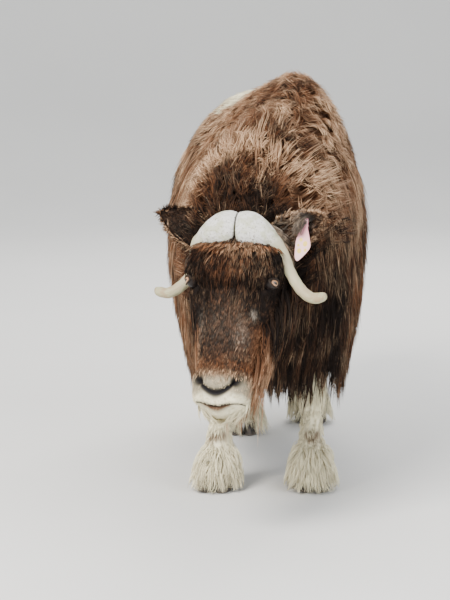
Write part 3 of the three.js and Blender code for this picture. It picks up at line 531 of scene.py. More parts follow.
@dataclass
class Head:
    """The head in its own frame: origin at the poll, -Z down the face, -Y out of the forehead.

    HEAD gives its section at depths down the face: half width, front, back and squareness.
    """

    at: Point = (-90.0, -430.0, 896.0)
    pitch: float = -26.0
    roll: float = -0.5
    yaw: float = -16.5
    eye: Point = (115.0, -51.0, -200.0)
    lids: Point = (22.0, 22.0, 22.0)

    def __post_init__(self) -> None:
        """Work out the turn from the head's frame to the animal's."""
        self.matrix = turning(self.yaw, 2) @ turning(self.roll, 1) @ turning(self.pitch, 0)

    def out(self, points: Array) -> Array:
        """Return points of the head's frame in the animal's frame."""
        return points @ self.matrix.T + np.asarray(self.at)

    @staticmethod
    def form(turn: Array, down: Array) -> Array:
        """Return points of the plain head: a superellipse at each depth down the face.

        It lies inside the outline of the fur. turn is 0 in the middle of the forehead, 0.25 on the
        animal's left and 0.5 at the back.
        """
        c = HEAD(down)
        grow = -lerp(9.0, 2.0, ease(down, 400, 500))
        angle = turn * 2 * np.pi
        depth = (c.back - c.front) / 2 + grow
        y = (c.back + c.front) / 2 - depth * grow_power(np.cos(angle), c.square)
        return stack((c.half + grow) * grow_power(np.sin(angle), c.square), y, -down)

    @staticmethod
    def mouth(x: Array, y: Array) -> Array:
        """Return the height of the gap between the lips, lowest in the middle."""
        return -560 + 0.16 * (y + 70) - 10 * bell(x, 0, 34)

    @staticmethod
    def nose_band(x: Array) -> Array:
        """Return the height of the black band that joins the nostrils."""
        return -537 + 38 * (x / 56) ** 1.9

    def relief(self, point: Array) -> Array:
        """Return how far the flesh stands out from the plain head: brows, cheeks, lips, pits."""
        at = folded(point)
        x, y, z = at
        front, ahead = ease(-y, 10, 50), ease(30 - y, 0, 60)
        lip = self.mouth(x, y)
        ex, ey, ez = self.eye
        lumps = (
            (9, (ex + 6, ey - 14, ez + 32), (30, 30, 13)),
            (5, (ex + 6, ey - 14, ez - 34), (34, 34, 12)),
            (-10, (94, -74, -240), (24, 44, 48)),
            (6, (0, -96, -400), (34, 40, 70)),
            (-4, (62, -70, -350), (18, 40, 60)),
            (7, (66, -80, -493), (14, 26, 20)),
            (-17, (54, -86, -502), (12, 30, 12)),
        )
        rise = sum(height * spot(at, middle, size) for height, middle, size in lumps)
        rise += 13 * bell(z, -152, 52, 4) * ease(150 - x, 0, 40) * ahead
        rise -= 6 * bell(z, self.nose_band(x), 7) * ease(62 - x, 0, 14) * front
        rise += 4.5 * bell(z, lip + 8, 6) * ease(76 - x, 0, 30) * front
        rise -= 9 * ease(lip - 2 - z, 0, 7) * ease(40 - y, 0, 60) * ease(x, 6, 40)
        rise -= 7 * bell(z, lip, 2.6) * ahead
        rise -= 2.5 * bell(x, 0, 3.5) * ease(-z, 541, 549) * ease(z - lip, 0, 4) * front
        return rise

    def surface(self, turn: Array, down: Array) -> tuple[Array, Array]:
        """Return points of the plain head and the ways out of it there."""
        point = self.form(turn, down)
        around = unit(self.form(turn + 0.002, down) - self.form(turn - 0.002, down))
        low, high = np.clip(down - 1, 2, FACE), np.clip(down + 1, 2, FACE)
        out = unit(np.cross(unit(self.form(turn, high) - self.form(turn, low)), around))
        inwards = (out * (point * [1, 1, 0] - [0, 20, 0])).sum(-1, keepdims=True) < 0
        return point, np.where(inwards, -out, out)

    def marks(self, down: Array, point: Array) -> Array:
        """Return the fur's colours on the head: brownness, rust, blond and cream. The blond is partly
        painted sheen, and the fur round the eye socket is darkened as painted shade.
        """
        x, y, z = folded(point)
        edge = bell(z, -104, 18) + 0.4 * bell(point[..., 0], 68, 6) * bell(z, -160, 32)
        edge = edge * ease(-y, 0, 50)
        pad = ease(-z, 90, 130) * ease(230 + z, 0, 90) * ease(40 - y, 0, 70)
        # Painted shade: the fur round the eye socket is darkened.
        patch = spot((x, z), (106, -210), (50, 92), 2) * ease(70 - y, 0, 60)
        cheek = ease(down, 250, 340) * ease(y, -60, 0)
        cream = (0.46 * ease(down, 466, 504) + 0.54 * ease(down, 524, 548)) * ease(70 - y, 0, 60)
        cream = 0.70 * np.maximum(cream, ease(down, 520, 556) * ease(110 - y, 0, 60))
        stain = bell(z, self.mouth(x, y) - 4, 9) * ease(56 - x, 0, 24) * ease(-y, 10, 50)
        brown = 0.15 + 0.05 * pad + 0.36 * edge + 0.72 * cheek - 1.5 * patch
        brown += 0.12 * ease(down, 424, 446) + 0.3 * stain
        rust = 0.30 + 0.34 * pad + 0.4 * edge + 0.22 * cheek + 0.45 * bell(down, 442, 16) - 0.5 * patch
        blond = 0.05 + 0.28 * edge + 0.28 * cheek + 0.8 * ease(down, 450, 478)
        blond += 0.3 * ease(100 - down, 0, 60) - 0.8 * patch
        return np.clip(stack(brown, rust, blond, cream - 0.6 * stain), 0, 1)

    @staticmethod
    def grey(point: Array) -> Array:
        """Return how grey the fur is: grey on the bridge of the nose as painted sheen, and grey hair behind
        the bosses.
        """
        x, y, z = folded(point)
        across = point[..., 0]
        # Painted sheen: grey spots and a band on the bridge of the nose.
        face = 0.28 * spot((across, z), (54, -350), (17, 40))
        face += 0.15 * spot((across, z), (-74, -325), (14, 50))
        face += 0.7 * spot((across, z), (78, -288), (8, 12))
        face += 0.09 * bell(z, -330, 80) * ease(70 - x, 0, 40)
        boss = 0.28 * bell(x, 88, 26) * ease(z, -66, -40) * ease(y, -30, 10)
        return np.clip(face * ease(-y, 10, 50) + boss, 0, 1)

    def bare(self, point: Array) -> Array:
        """Return where the skin is black and bare: nostrils, the band between them, lips, lids."""
        x, y, z = folded(point)
        front = ease(-y, 20, 50)
        hole = spot((x, z), (55, -501), (15, 17), 2) * front
        strip = bell(z, self.nose_band(x), 14 - x / 14, 4) * ease(66 - x, 0, 12) * front
        mouth = 0.9 * bell(z, self.mouth(x, y), 3.2, 4) * ease(10 - y, 0, 50)
        return np.clip(np.max([hole, strip, mouth, spot((x, y, z), self.eye, self.lids, 3)], axis=0), 0, 1)

    def skin(self, rows: int = 230, columns: int = 200) -> Sheet:
        """Return the skin of the head, with its relief along the ways out."""
        t = np.linspace(0, 1, rows)[:, None]
        turn = shares(columns) + 0.5 + 0 * t
        down = lerp(2.0, FACE, lerp(t, np.sin(t * np.pi / 2), 0.35)) + 0 * turn
        point, out = self.surface(turn, down)
        marks, grey, bare = self.marks(down, point), self.grey(point), self.bare(point)
        sink = 4 * spot(folded(point), self.eye, self.lids, 2)
        point = point + out * self.relief(point)[..., None]
        self.local = point - out * sink[..., None]
        marks[..., 1] *= 1 - bare
        uv = stack(0.01 + 0.36 * ((turn + 0.5) % 1.0), 0.40 - 0.38 * down / 600)
        return Sheet(self.out(self.local), uv, marks, True, stack(bare, grey))


# Ears, legs and tail
def path_frames(points: Array, face: Array) -> tuple[Array, Array]:
    """Return two ways across a path at each of its points.

    The first is the face way made square to the path, the second is square to both.
    """
    run = unit(np.gradient(points, axis=0))
    deep = unit(face - run * (run @ face)[:, None])
    return deep, np.cross(deep, run)


EARS = {
    Side.LEFT: Table("x y z half deep", (
        (72, 54, -50, 42, 24), (97, 52, -32, 52, 27), (127, 44, -20, 56, 27), (153, 38, -13, 53, 25),
        (182, 30, 2, 42, 21), (211, 22, 12, 26, 15), (228, 17, 15, 13, 10), (238, 14, 13, 5, 5),
    ), even=True),
    Side.RIGHT: Table("x y z half deep", (
        (-84, 54, -48, 42, 24), (-118, 52, -28, 54, 27), (-150, 50, -16, 59, 27), (-182, 46, -3, 57, 25),
        (-213, 41, 11, 48, 22), (-239, 36, 21, 33, 17), (-257, 32, 26, 17, 12), (-266, 29, 26, 6, 5),
    ), even=True),
}


@dataclass
class Ear:
    """A cupped ear that opens forwards, thin at its rim: EARS gives its path in the head's frame."""

    side: Side
    head: Head
    wall: float = 7.0
    inset: float = 5.0
    rows: int = 44
    columns: int = 48

    def skin(self) -> Sheet:
        """Return the ear's skin.

        Its section is a half ellipse at the back, and a smaller one inside it as the cup.
        """
        t = np.linspace(0, 1, self.rows)
        c = EARS[self.side](t)
        path = stack(c.x, c.y, c.z)
        half, deep = (np.maximum(size - self.inset, 2)[:, None] for size in (c.half, c.deep))
        face, edge = path_frames(path, np.array([0.0, -1.0, 0.0]))
        a, tip = shares(self.columns), t[:, None]
        inner = a >= 0.5
        angle = 2 * np.pi * np.where(inner, 1 - a, a)
        wall = np.where(inner, np.minimum(self.wall, 0.6 * deep), 0.0)
        wide = (half - wall * 0.7) * np.cos(angle)
        back = -(deep - wall) * np.sin(angle) * np.where(inner, 0.85, 1.0)
        point = path[:, None] + edge[:, None] * wide[..., None] + face[:, None] * back[..., None]
        rim = ease(np.abs(np.cos(angle)), 0.75, 0.98) + 0 * tip
        rows = ((0.10, 0.26, 0.25), (0.12, 0.42, 0.1), (0.10, 0.2, 0.42), (0.0, 0.0, 0.0))
        marks = stack(*(np.where(inner, cup, outer + more * rim) for cup, outer, more in rows))
        uv = stack((0.66 if self.side is Side.LEFT else 0.76) + 0.08 * a, 0.02 + 0.3 * tip)
        return Sheet(self.head.out(point), uv, marks, self.side is Side.LEFT)


FORELEG = Table("x y across along", (
    (50, 0, -18, 57, 64), (76, 0, -16, 54, 60), (120, 0, -10, 44, 50), (168, 0, 0, 38, 43),
    (232, 0, 2, 34, 38), (276, 0, -4, 41, 43), (312, 0, -6, 46, 48), (366, -5, 10, 51, 58),
    (425, -10, 26, 64, 78), (520, -20, 46, 84, 100),
))
HIND_LEG = Table("x y across along", (
    (50, 0, -16, 56, 63), (76, 0, -14, 53, 59), (120, 0, -4, 45, 50), (168, 0, 10, 39, 42),
    (232, 0, 24, 35, 39), (276, 0, 34, 38, 43), (318, 0, 44, 42, 50), (372, 2, 58, 48, 62),
    (425, 4, 62, 60, 84), (520, 6, 60, 84, 110),
))


@dataclass
class Leg:
    """A leg below the skirt, with its foot, as a stack of superellipses.

    path gives, at each height, the middle and the half widths across and along. lean is how far
    out the leg is at the height of the elbow, and turn is the foot's turn about the vertical.
    """

    name: str
    path: Table
    x: float
    y: float
    lean: float
    turn: float
    block: int
    inset: float = 5.0
    elbow: float = 425.0

    def turned(self, x: Array, y: Array, z: Array) -> Array:
        """Return points about the leg's middle turned with the foot."""
        return stack(x, y, z) @ turning(self.turn, 2).T

    def skin(self, rows: int = 96, columns: int = 56) -> Sheet:
        """Return the leg's skin, with the knee's bulge and the tendon's furrow as relief."""
        z = lerp(46.0, 516.0, np.linspace(0, 1, rows) ** 1.15)[:, None]
        c = self.path(z)
        a = shares(columns)
        sin, cos = np.sin(2 * np.pi * a), np.cos(2 * np.pi * a)
        front = ease(-cos, 0.2, 0.9)
        grow = 3.5 * bell(z, 285, 26) * front + 2.5 * bell(z, 128, 20) * (1 - front) - self.inset
        grow = grow - 3.0 * bell(z, 205, 50) * np.abs(sin) * ease(cos, 0, 0.6)
        point = self.turned((c.across + grow) * grow_power(sin, 2.2),
                            (c.along + grow) * grow_power(cos, 2.2), z)
        point[..., 0] += self.x + c.x * math.copysign(1.0, self.x) + self.lean * z / self.elbow
        point[..., 1] += self.y + c.y
        patch = (bell(z, 172, 26) * (0.75 if self.path is FORELEG else 0.4) + 0.3 * bell(z, 300, 34)) * front
        patch = patch + 0.35 * bell(z, 84, 26) * ease(front, 0.6, 0.95)
        marks = stack(0.55, 0.5, 0.3, np.clip(ease(430 - z, 0, 110) - patch, 0, 1))
        uv = stack(0.40 + 0.062 * self.block + 0.055 * a, 0.02 + 0.38 * z / 520)
        return Sheet(point, uv, marks, True)


@dataclass
class Tail:
    """The short tail, which hangs inside the coat of the rump."""

    y: float = 1188.0
    top: float = 880.0
    length: float = 130.0
    half: float = 22.0

    def skin(self, rows: int = 24, columns: int = 28) -> Sheet:
        """Return the tail's skin: ellipses that narrow as the root of 1 - 0.8 t^2."""
        t = np.linspace(0, 0.97, rows)[:, None]
        a = shares(columns)
        size = self.half * np.sqrt(1 - 0.8 * t**2) * np.sqrt(np.maximum(1 - (t / 0.98) ** 8, 0.05))
        y = self.y - 6 + 16 * np.sin(2 * t) + size * 0.8 * np.cos(2 * np.pi * a)
        point = stack(size * np.sin(2 * np.pi * a), y, self.top - self.length * t)
        uv = stack(0.86 + 0.06 * a, 0.3 - 0.2 * t)
        return Sheet(point, uv, stack(0.35, 0.5, 0.3, 0 * uv[..., 0]))


# The coat
@dataclass(frozen=True)
class Tress:
    """How the hair of one part of the coat is made, in millimetres.

    A tuft is clump hairs rooted within spread of its middle. gather is how far they close on one
    another at its tip, depth how far below the coat's surface they are rooted, and fall how much
    the way down is mixed into the way they lie.
    """

    name: str
    slot: str
    strands: int
    rings: int
    length: tuple[float, float]
    width: float
    clump: int
    spread: float
    gather: float
    lift: tuple[float, float]
    wave: float
    turns: float
    depth: float = 34.0
    grey: float = 0.0
    sag: float = 0.0
    fall: float = 0.0
    stray: float = 0.14


@dataclass(frozen=True)
class Zone:
    """A part of the trunk's coat, and the way its hair is laid.

    Runs are measured down from the crest, or up from the hem where hem is set. drift is how far a
    hair goes back for its length and slide how far it goes down.
    """

    y: tuple[float, float]
    run: tuple[float, float]
    drift: float
    slide: float
    hem: bool = False


@dataclass
class Strands:
    """Paths of hairs, with their widths and what their colours need."""

    path: Array
    out: Array
    width: Array
    marks: Array
    grey: Array
    chance: Array
    uv: Array

    def cut(self, part: Any) -> Strands:
        """Return some of the hairs."""
        return Strands(*(getattr(self, row.name)[part] for row in fields(self)))

    def mesh(self) -> tuple[Array, Array, dict[str, Array]]:
        """Return points, faces and layers of closed three-sided hairs.

        A hair is a spindle: its section is a triangle whose size goes as
        (0.7 + 0.6 t) (1 - t^1.7) from the root to a point at the tip. Its faces look inwards.
        """
        n, k, _ = self.path.shape
        run = unit(np.gradient(self.path, axis=1))
        across = unit(np.cross(run, self.out[:, None]))
        up = np.cross(across, run)
        t = np.linspace(0, 1, k)
        size = (self.width[:, None] * ((0.7 + 0.6 * t) * (1 - t**1.7)))[:, :-1, None, None]
        turns = (np.pi * np.array([0.5, 7 / 6, 11 / 6]))[:, None]
        ring = self.path[:, :-1, None] + size * (
            0.58 * across[:, :-1, None] * np.cos(turns) + 0.36 * up[:, :-1, None] * np.sin(turns))
        points = np.concatenate([ring.reshape(n, -1, 3), self.path[:, -1:]], axis=1)
        tip = 3 * (k - 1)
        faces = [[2, 1, 0, 0]]
        for c, d in ((0, 1), (1, 2), (2, 0)):
            faces += [[r + c, r + d, r + 3 + d, r + 3 + c] for r in range(0, tip - 3, 3)]
            faces.append([tip - 3 + c, tip - 3 + d, tip, tip])
        whole = (np.arange(n)[:, None, None] * (tip + 1) + np.array(faces)).reshape(-1, 4)
        along = np.append(np.repeat(t[:-1], 3), 1.0)
        over = np.append(np.tile([-0.5, 0.0, 0.5], k - 1), 0.0)
        strand = stack(along, self.chance[:, :1], self.chance[:, 1:], self.grey[:, None])
        marks = np.repeat(self.marks, tip + 1, axis=0)
        uv = self.uv[:, None] + PATCH * stack(over, along)
        layers = {"strand": strand.reshape(-1, 4), "marks": marks, "OFBake": uv.reshape(-1, 2)}
        return points.reshape(-1, 3), whole, layers


@dataclass
class Barber:
    """Lays the hairs of each part of the coat."""

    trunk: Trunk
    head: Head
    maker: Maker
    finish: bpy.types.Material
    rng: np.random.Generator = field(default_factory=lambda: np.random.default_rng(41))
    total: int = 0

    def _tufts(self, tress: Tress) -> tuple[Array, Array, Array]:
        """Return each hair's tuft, and its place within it across and along."""
        own = np.repeat(np.arange(max(1, tress.strands // tress.clump)), tress.clump)
        angle = self.rng.uniform(0, 2 * np.pi, len(own))
        reach = tress.spread * np.sqrt(self.rng.random(len(own)))
        return own, reach * np.cos(angle), reach * np.sin(angle)

    def trunk_coat(self, tress: Tress, zone: Zone) -> None:
        """Lay hair that keeps to the trunk's outline.

        A hair starts below the outline, is up to it after a quarter of its length, and goes on
        along it with a sway, rising towards its tip by the square of its length.
        """
        rng, trunk = self.rng, self.trunk
        own, dx, dy = self._tufts(tress)
        tufts, hairs = own[-1] + 1, len(own)
        side = rng.integers(0, 2, tufts)
        place = rng.uniform(*trunk.place_of(zone.y), tufts)
        run = rng.uniform(*zone.run, tufts)
        hem = trunk.hem_runs[side, np.clip((place / trunk.step).astype(int), 0, trunk.rows - 1)]
        if zone.hem:
            run = hem - run
        length = rng.uniform(*tress.length, tufts)
        end = hem + trunk.fringe * rng.uniform(-1.2, 1, tufts)
        length = np.minimum(length, np.maximum((end - run) / max(zone.slide, 0.1), 45))
        lift = rng.uniform(*tress.lift, tufts)
        phase = rng.uniform(0, 2 * np.pi, tufts)
        veer = rng.normal(0, tress.stray, tufts)
        tone = rng.random(tufts)
        side, place, run, hem, length, lift, phase, veer, tone = (
            values[own][:, None] for values in (side, place, run, hem, length, lift, phase, veer, tone))
        t = np.linspace(0, 1, tress.rings)[None, :]
        close = 1 - tress.gather * t**1.3
        reach = length * rng.uniform(0.78, 1.08, (hairs, 1))
        turn = 2 * np.pi * tress.turns * t + phase + rng.normal(0, 0.35, (hairs, 1))
        sway = tress.wave * np.sin(turn) * np.minimum(2 * t, 1)
        along = place + dx[:, None] * close + sway + (zone.drift + veer) * reach * t
        down = run + dy[:, None] * close + zone.slide * reach * t
        side = np.where(down < 0, 1 - side, side)
        point, out = trunk.at(side, along, np.abs(down))
        off = -tress.depth * (1 - ease(t, 0, 0.28)) + lift * t**2
        off = off + 0.7 * tress.wave * np.cos(turn) * t + rng.uniform(-7, 5, (hairs, 1)) * t
        path = point + out * off[..., None]
        x, y, z = folded((path[:, 0] - self.head.at) @ self.head.matrix)
        buried = (x < 120) & (y < 100) & (z > -480) & (z < -20)
        keep = ~buried & (run < hem - 50)[:, 0]
        side, along, down = side[:, 0], along[:, 0], np.abs(down[:, 0])
        marks = trunk.marks(side, path[:, 1], down)
        marks[:, 2] = np.clip(marks[:, 2] + rng.normal(0, 0.12, hairs), 0, 1)
        chance = stack(rng.random(hairs), tone[:, 0])
        width = tress.width * rng.uniform(0.75, 1.25, hairs)
        grey = np.full(hairs, tress.grey)
        uv = trunk.uv(side, along, down)
        self._finish(tress, Strands(path, out[:, 0], width, marks, grey, chance, uv).cut(keep))

    def sheet_coat(self, tress: Tress, sheet: Sheet, weight: Array, flow: Array) -> None:
        """Lay hair on a sheet.

        A hair follows the flow, stands off by its lift as t (1.5 - t), and sags as t squared.
        """
        rng = self.rng
        own, dx, dy = self._tufts(tress)
        tufts, hairs = own[-1] + 1, len(own)
        flow = np.broadcast_to(flow, sheet.points.shape)
        roots = sheet.scatter(rng, tufts, np.maximum(weight, 0), flow)
        across = unit(np.cross(roots.flow, roots.out))
        way = unit(np.cross(roots.out, across))
        way = unit(way + across * rng.normal(0, tress.stray, (tufts, 1)))
        way = unit(way + tress.fall * LEVEL)
        length = rng.uniform(*tress.length, (tufts, 1, 1))
        lift = rng.uniform(*tress.lift, (tufts, 1, 1))
        phase = rng.uniform(0, 2 * np.pi, (tufts, 1, 1))
        tone = rng.random(tufts)
        t = np.linspace(0, 1, tress.rings)[None, :, None]
        close = 1 - tress.gather * t**1.3
        reach = length[own] * rng.uniform(0.75, 1.1, (hairs, 1, 1))
        turn = 2 * np.pi * tress.turns * t + phase[own]
        sway = tress.wave * np.sin(turn + rng.normal(0, 0.4, (hairs, 1, 1))) * t
        across, way, out = (values[own][:, None] for values in (across, way, roots.out))
        path = roots.points[own][:, None] + (across * dx[:, None, None] + way * dy[:, None, None]) * close
        path = path + way * reach * t + across * sway + LEVEL * tress.sag * reach * t**2
        path = path + out * (lift[own] * t * (1.5 - t) - tress.depth * (1 - ease(t, 0, 0.3)))
        path = path + out * (0.5 * tress.wave * np.cos(turn) * t)
        chance = stack(rng.random(hairs), tone[own])
        marks = roots.marks[own]
        marks[:, 2] = np.clip(marks[:, 2] + rng.normal(0, 0.1, hairs), 0, 1)
        grey = np.clip(roots.grey[own] + tress.grey, 0, 1)
        width = tress.width * rng.uniform(0.75, 1.25, hairs)
        path[..., 2] = np.maximum(path[..., 2], 4 + 8 * rng.random((hairs, 1)))
        self._finish(tress, Strands(path, out[:, 0], width, marks, grey, chance, roots.uv[own]))

    def _finish(self, tress: Tress, strands: Strands) -> None:
        """Make the hairs into objects, in as many parts as keep each one small."""
        each = 6 * tress.rings - 8
        parts = math.ceil(len(strands.path) / (MOST // each))
        for part in range(parts):
            name = f"coat_{tress.name}_{part + 1}" if parts > 1 else f"coat_{tress.name}"
            self.maker.place(name, tress.slot, self.finish, *strands.cut(slice(part, None, parts)).mesh())
        self.total += len(strands.path) * each


# Horns, eyes, hooves and tag
HORN = (
    (2.5, -52, -54, 55, 36), (29, -54, -50, 60, 44), (61, -50, -59, 51, 41), (90, -42, -72, 37, 33),
    (113, -32, -88, 27, 26), (136, -18, -115, 20, 20.5), (153, -10, -148, 17.5, 17.5),
    (175, -8, -182, 17, 17), (200, -8, -211, 17, 17), (228, -10, -228, 16.5, 16.5),
    (254, -12, -226, 15.5, 15.5), (270, -12, -216, 11.5, 11.5),
)


@dataclass
class Horn:
    """A horn: a flat boss over the brow that draws in to a hooked shaft.

    HORN gives its path in the head's frame, and its half height and depth. closer is how much
    nearer to the cheek the right shaft is, and meet how far a boss stops short of the middle.
    """

    side: Side
    head: Head
    maker: Maker
    closer: float = 34.0
    meet: float = 2.8

    def path(self, t: Array) -> SimpleNamespace:
        """Return the horn's middle, half height and depth, from boss 0 to tip 1."""
        rows = np.array(HORN)
        if self.side is Side.RIGHT:
            rows[:, 0] -= self.closer * np.clip((np.arange(len(rows)) - 4) / 3, 0, 1)
        rows[:, 0] *= self.side.value
        return Table("x y z tall deep", rows, even=True)(t)

    def build(self, finish: bpy.types.Material, rows: int = 220, columns: int = 96) -> None:
        """Make the horn.

        Ellipses follow the path; the boss's edges are rounded where the two bosses meet, its face
        has furrows along the grain that fade into the shaft, and the tip closes as a dome.
        """
        t = np.linspace(0, 1, rows)
        t = lerp(t, t**2, 0.15)
        c = self.path(t)
        middle = stack(c.x, c.y, c.z)
        face, edge = path_frames(middle, np.array([0.0, -1.0, 0.0]))
        t, gone, tall, deep = (values[:, None] for values in (t, lengths(middle), c.tall, c.deep))
        a = shares(columns)
        angle = 2 * np.pi * a
        boss = ease(-gone, -128, -78)
        grain = 0.6 * np.sin(angle * 19 + 3.0 * np.sin(t * 17 + 2 * np.cos(angle)))
        grain = grain + 0.5 * np.sin(angle * 31 + 7 * t + 1.7 * np.sin(t * 41))
        grow = 0.45 * grain * boss - 1.0 - 1.6 * bell(gone, 104 + 5 * np.sin(3 * angle), 6.0)
        grow = grow + 0.35 * np.sin(gone / 4.6 + 1.5 * np.sin(angle)) * (1 - boss)
        size = np.sqrt(np.clip(1 - np.clip(1 - (gone[-1] - gone) / 15.0, 0, 1) ** 2, 0.02, 1))
        size = size * (0.80 + 0.20 * np.sqrt(1 - np.clip(1 - gone / 13.0, 0, 1) ** 2))
        point = middle[:, None] + edge[:, None] * ((tall + grow) * size * np.cos(angle))[..., None]
        point = point + face[:, None] * ((deep + grow) * size * np.sin(angle))[..., None]
        sign = self.side.value
        point[..., 0] = sign * np.maximum(sign * point[..., 0], self.meet)
        grid = {"points": self.head.out(point), "dial": stack(t, a, grain * 0.5 + 0.5, 1)}
        name = f"horn_{self.side.word}"
        self.maker.shells(f"polished_{name}", "horn", finish, [grid], [name])


@dataclass
class Eye:
    """An eyeball with its two lids, turned outwards from the head's front."""

    side: Side
    head: Head
    maker: Maker
    radius: float = 21.0
    turn: float = 56.0
    tilt: float = -12.0
    opening: tuple[float, float] = (16.5, 10.5)

    def frame(self) -> tuple[Array, Array, Array, Array]:
        """Return the ball's middle, its way out, and the ways along and across the opening."""
        sign, angle, tilt = self.side.value, math.radians(self.turn), math.radians(self.tilt)
        middle = self.head.eye * np.array([sign, 1, 1])
        out = unit(np.array([sign * math.sin(angle), -math.cos(angle), -0.22]))
        level = unit(np.cross(-LEVEL, out) * sign)
        up = unit(np.cross(out, level) * sign)
        along = level * math.cos(tilt) + up * math.sin(tilt)
        return middle, out, along, unit(up * math.cos(tilt) - level * math.sin(tilt))

    def build(self, ball: bpy.types.Material, lid: bpy.types.Material) -> None:
        """Make a sphere whose pole looks out, with a bulge at the pole, and the lids."""
        middle, out, along, up = self.frame()
        theta = np.linspace(0.02, np.pi - 0.02, 60)[:, None]
        phi = 2 * np.pi * shares(72)
        globe = stack(np.sin(theta) * np.cos(phi), np.sin(theta) * np.sin(phi), np.cos(theta))
        size = self.radius - 0.6 + 1.6 * bell(theta, 0, 0.42)
        point = middle + size[..., None] * (globe @ np.stack([along, up, out]))
        dial = np.concatenate([0.5 + 0.5 * globe, np.ones(globe.shape[:2] + (1,))], axis=-1)
        name = f"eye_{self.side.word}"
        grid = {"points": self.head.out(point), "dial": dial}
        self.maker.shells(f"glossy_{name}", "eye", ball, [grid], [name])
        self._lids(middle, np.stack([along, up, out]), lid)

    def _lids(self, middle: Array, frame: Array, lid: bpy.types.Material) -> None:
        """Make the lids: a rounded band round the edge of an almond-shaped opening."""
        rows, columns = 120, 16
        turn = 2 * np.pi * shares(rows).T
        across = 2 * np.pi * shares(columns)
        wide, tall = self.opening
        u = (wide + 3.0) * np.cos(turn) * np.abs(np.cos(turn)) ** 0.15
        v = (tall + 2.0) * np.sin(turn) * (1 - 0.35 * np.cos(turn) ** 4)
        v = np.where(v > 0, v * 0.92, v * 0.84)
        depth = np.sqrt(np.maximum((self.radius + 1.2) ** 2 - u**2 - v**2, 4))
        spine = np.concatenate([u, v, depth], axis=1)
        ahead = unit(np.roll(spine, -1, axis=0) - np.roll(spine, 1, axis=0))
        rise = unit(spine)
        thick = 2.1 + 1.0 * np.maximum(np.sin(turn), 0)
        ring = spine[:, None] + np.cross(ahead, rise)[:, None] * (1.3 * thick * np.cos(across))[..., None]
        ring = ring + rise[:, None] * (0.85 * thick * np.sin(across))[..., None]
        points = (middle + ring @ frame).reshape(-1, 3)
        r, c = np.meshgrid(np.arange(rows), np.arange(columns), indexing="ij")
        s, d = (r + 1) % rows * columns, (c + 1) % columns
        faces = stack(columns * r + c, columns * r + d, s + d, s + c).reshape(-1, 4)
        dial = np.tile([0.5, 0.5, 0.5, 1.0], (len(points), 1))
        self.maker.place(f"lids_{self.side.word}", "eye", lid, self.head.out(points),
                         turn_out(points - middle, faces), {"dial": dial})


CLAW = Table("shrink forward", (
    (0, 8, 6), (2.5, 2.5, 6.4), (8, 0.6, 6), (26, 2.2, 3), (40, 4.2, 1.5), (49.5, 6.5, 0),
))


@dataclass
class Hoof:
    """One of a foot's two claws. CLAW gives how it draws in and leans forward with height."""

    leg: Leg
    side: Side
    maker: Maker
    across: float = 52.0
    length: float = 118.0
    gap: float = 5.0
    top: float = 49.5

    def build(self, finish: bpy.types.Material) -> None:
        """Make the claw: superellipses that widen to the ground and turn in at the toe."""
        z = np.concatenate([[0, 0.15, 0.7], np.linspace(2.2, self.top - 1, 34), [self.top]])[:, None]
        c = CLAW(z)
        a = shares(64)
        half, sign = self.across / 2, self.side.value
        out, ahead = (grow_power(turn(2 * np.pi * a), 2.35) for turn in (np.sin, np.cos))
        toe = np.maximum(ahead, 0) ** 2
        grow = 0.5 * np.sin(z * 1.05 + 0.8 * ahead) * ease(z, 4, 10) - c.shrink
        x = self.gap / 2 + half + (half + grow) * out * (1 - 0.16 * toe) - 5.0 * toe * (1 - z / 90)
        y = -18 - c.forward - (self.length / 2 + grow) * ahead
        point = self.leg.turned(sign * np.maximum(x, self.gap / 2 + 0.3), y, z)
        point += [self.leg.x + self.leg.lean * 50.0 / self.leg.elbow, self.leg.y, 0]
        grid = {"points": point, "dial": stack(z / self.top, a, 0.5 + 0.5 * ahead, 1)}
        name = f"hoof_{self.leg.name}_{self.side.word}"
        self.maker.shells(f"ringed_{name}", "hoof", finish, [grid], [name])


TAG_OUTLINE = (
    (-8, 10), (-5, 12), (6, 12), (9, 10), (10, -18), (14, -30), (24, -68), (24, -76), (21, -84),
    (-7, -115), (-12, -118), (-16, -114), (-20, -104), (-20, -54), (-17, -42), (-9, -20),
)


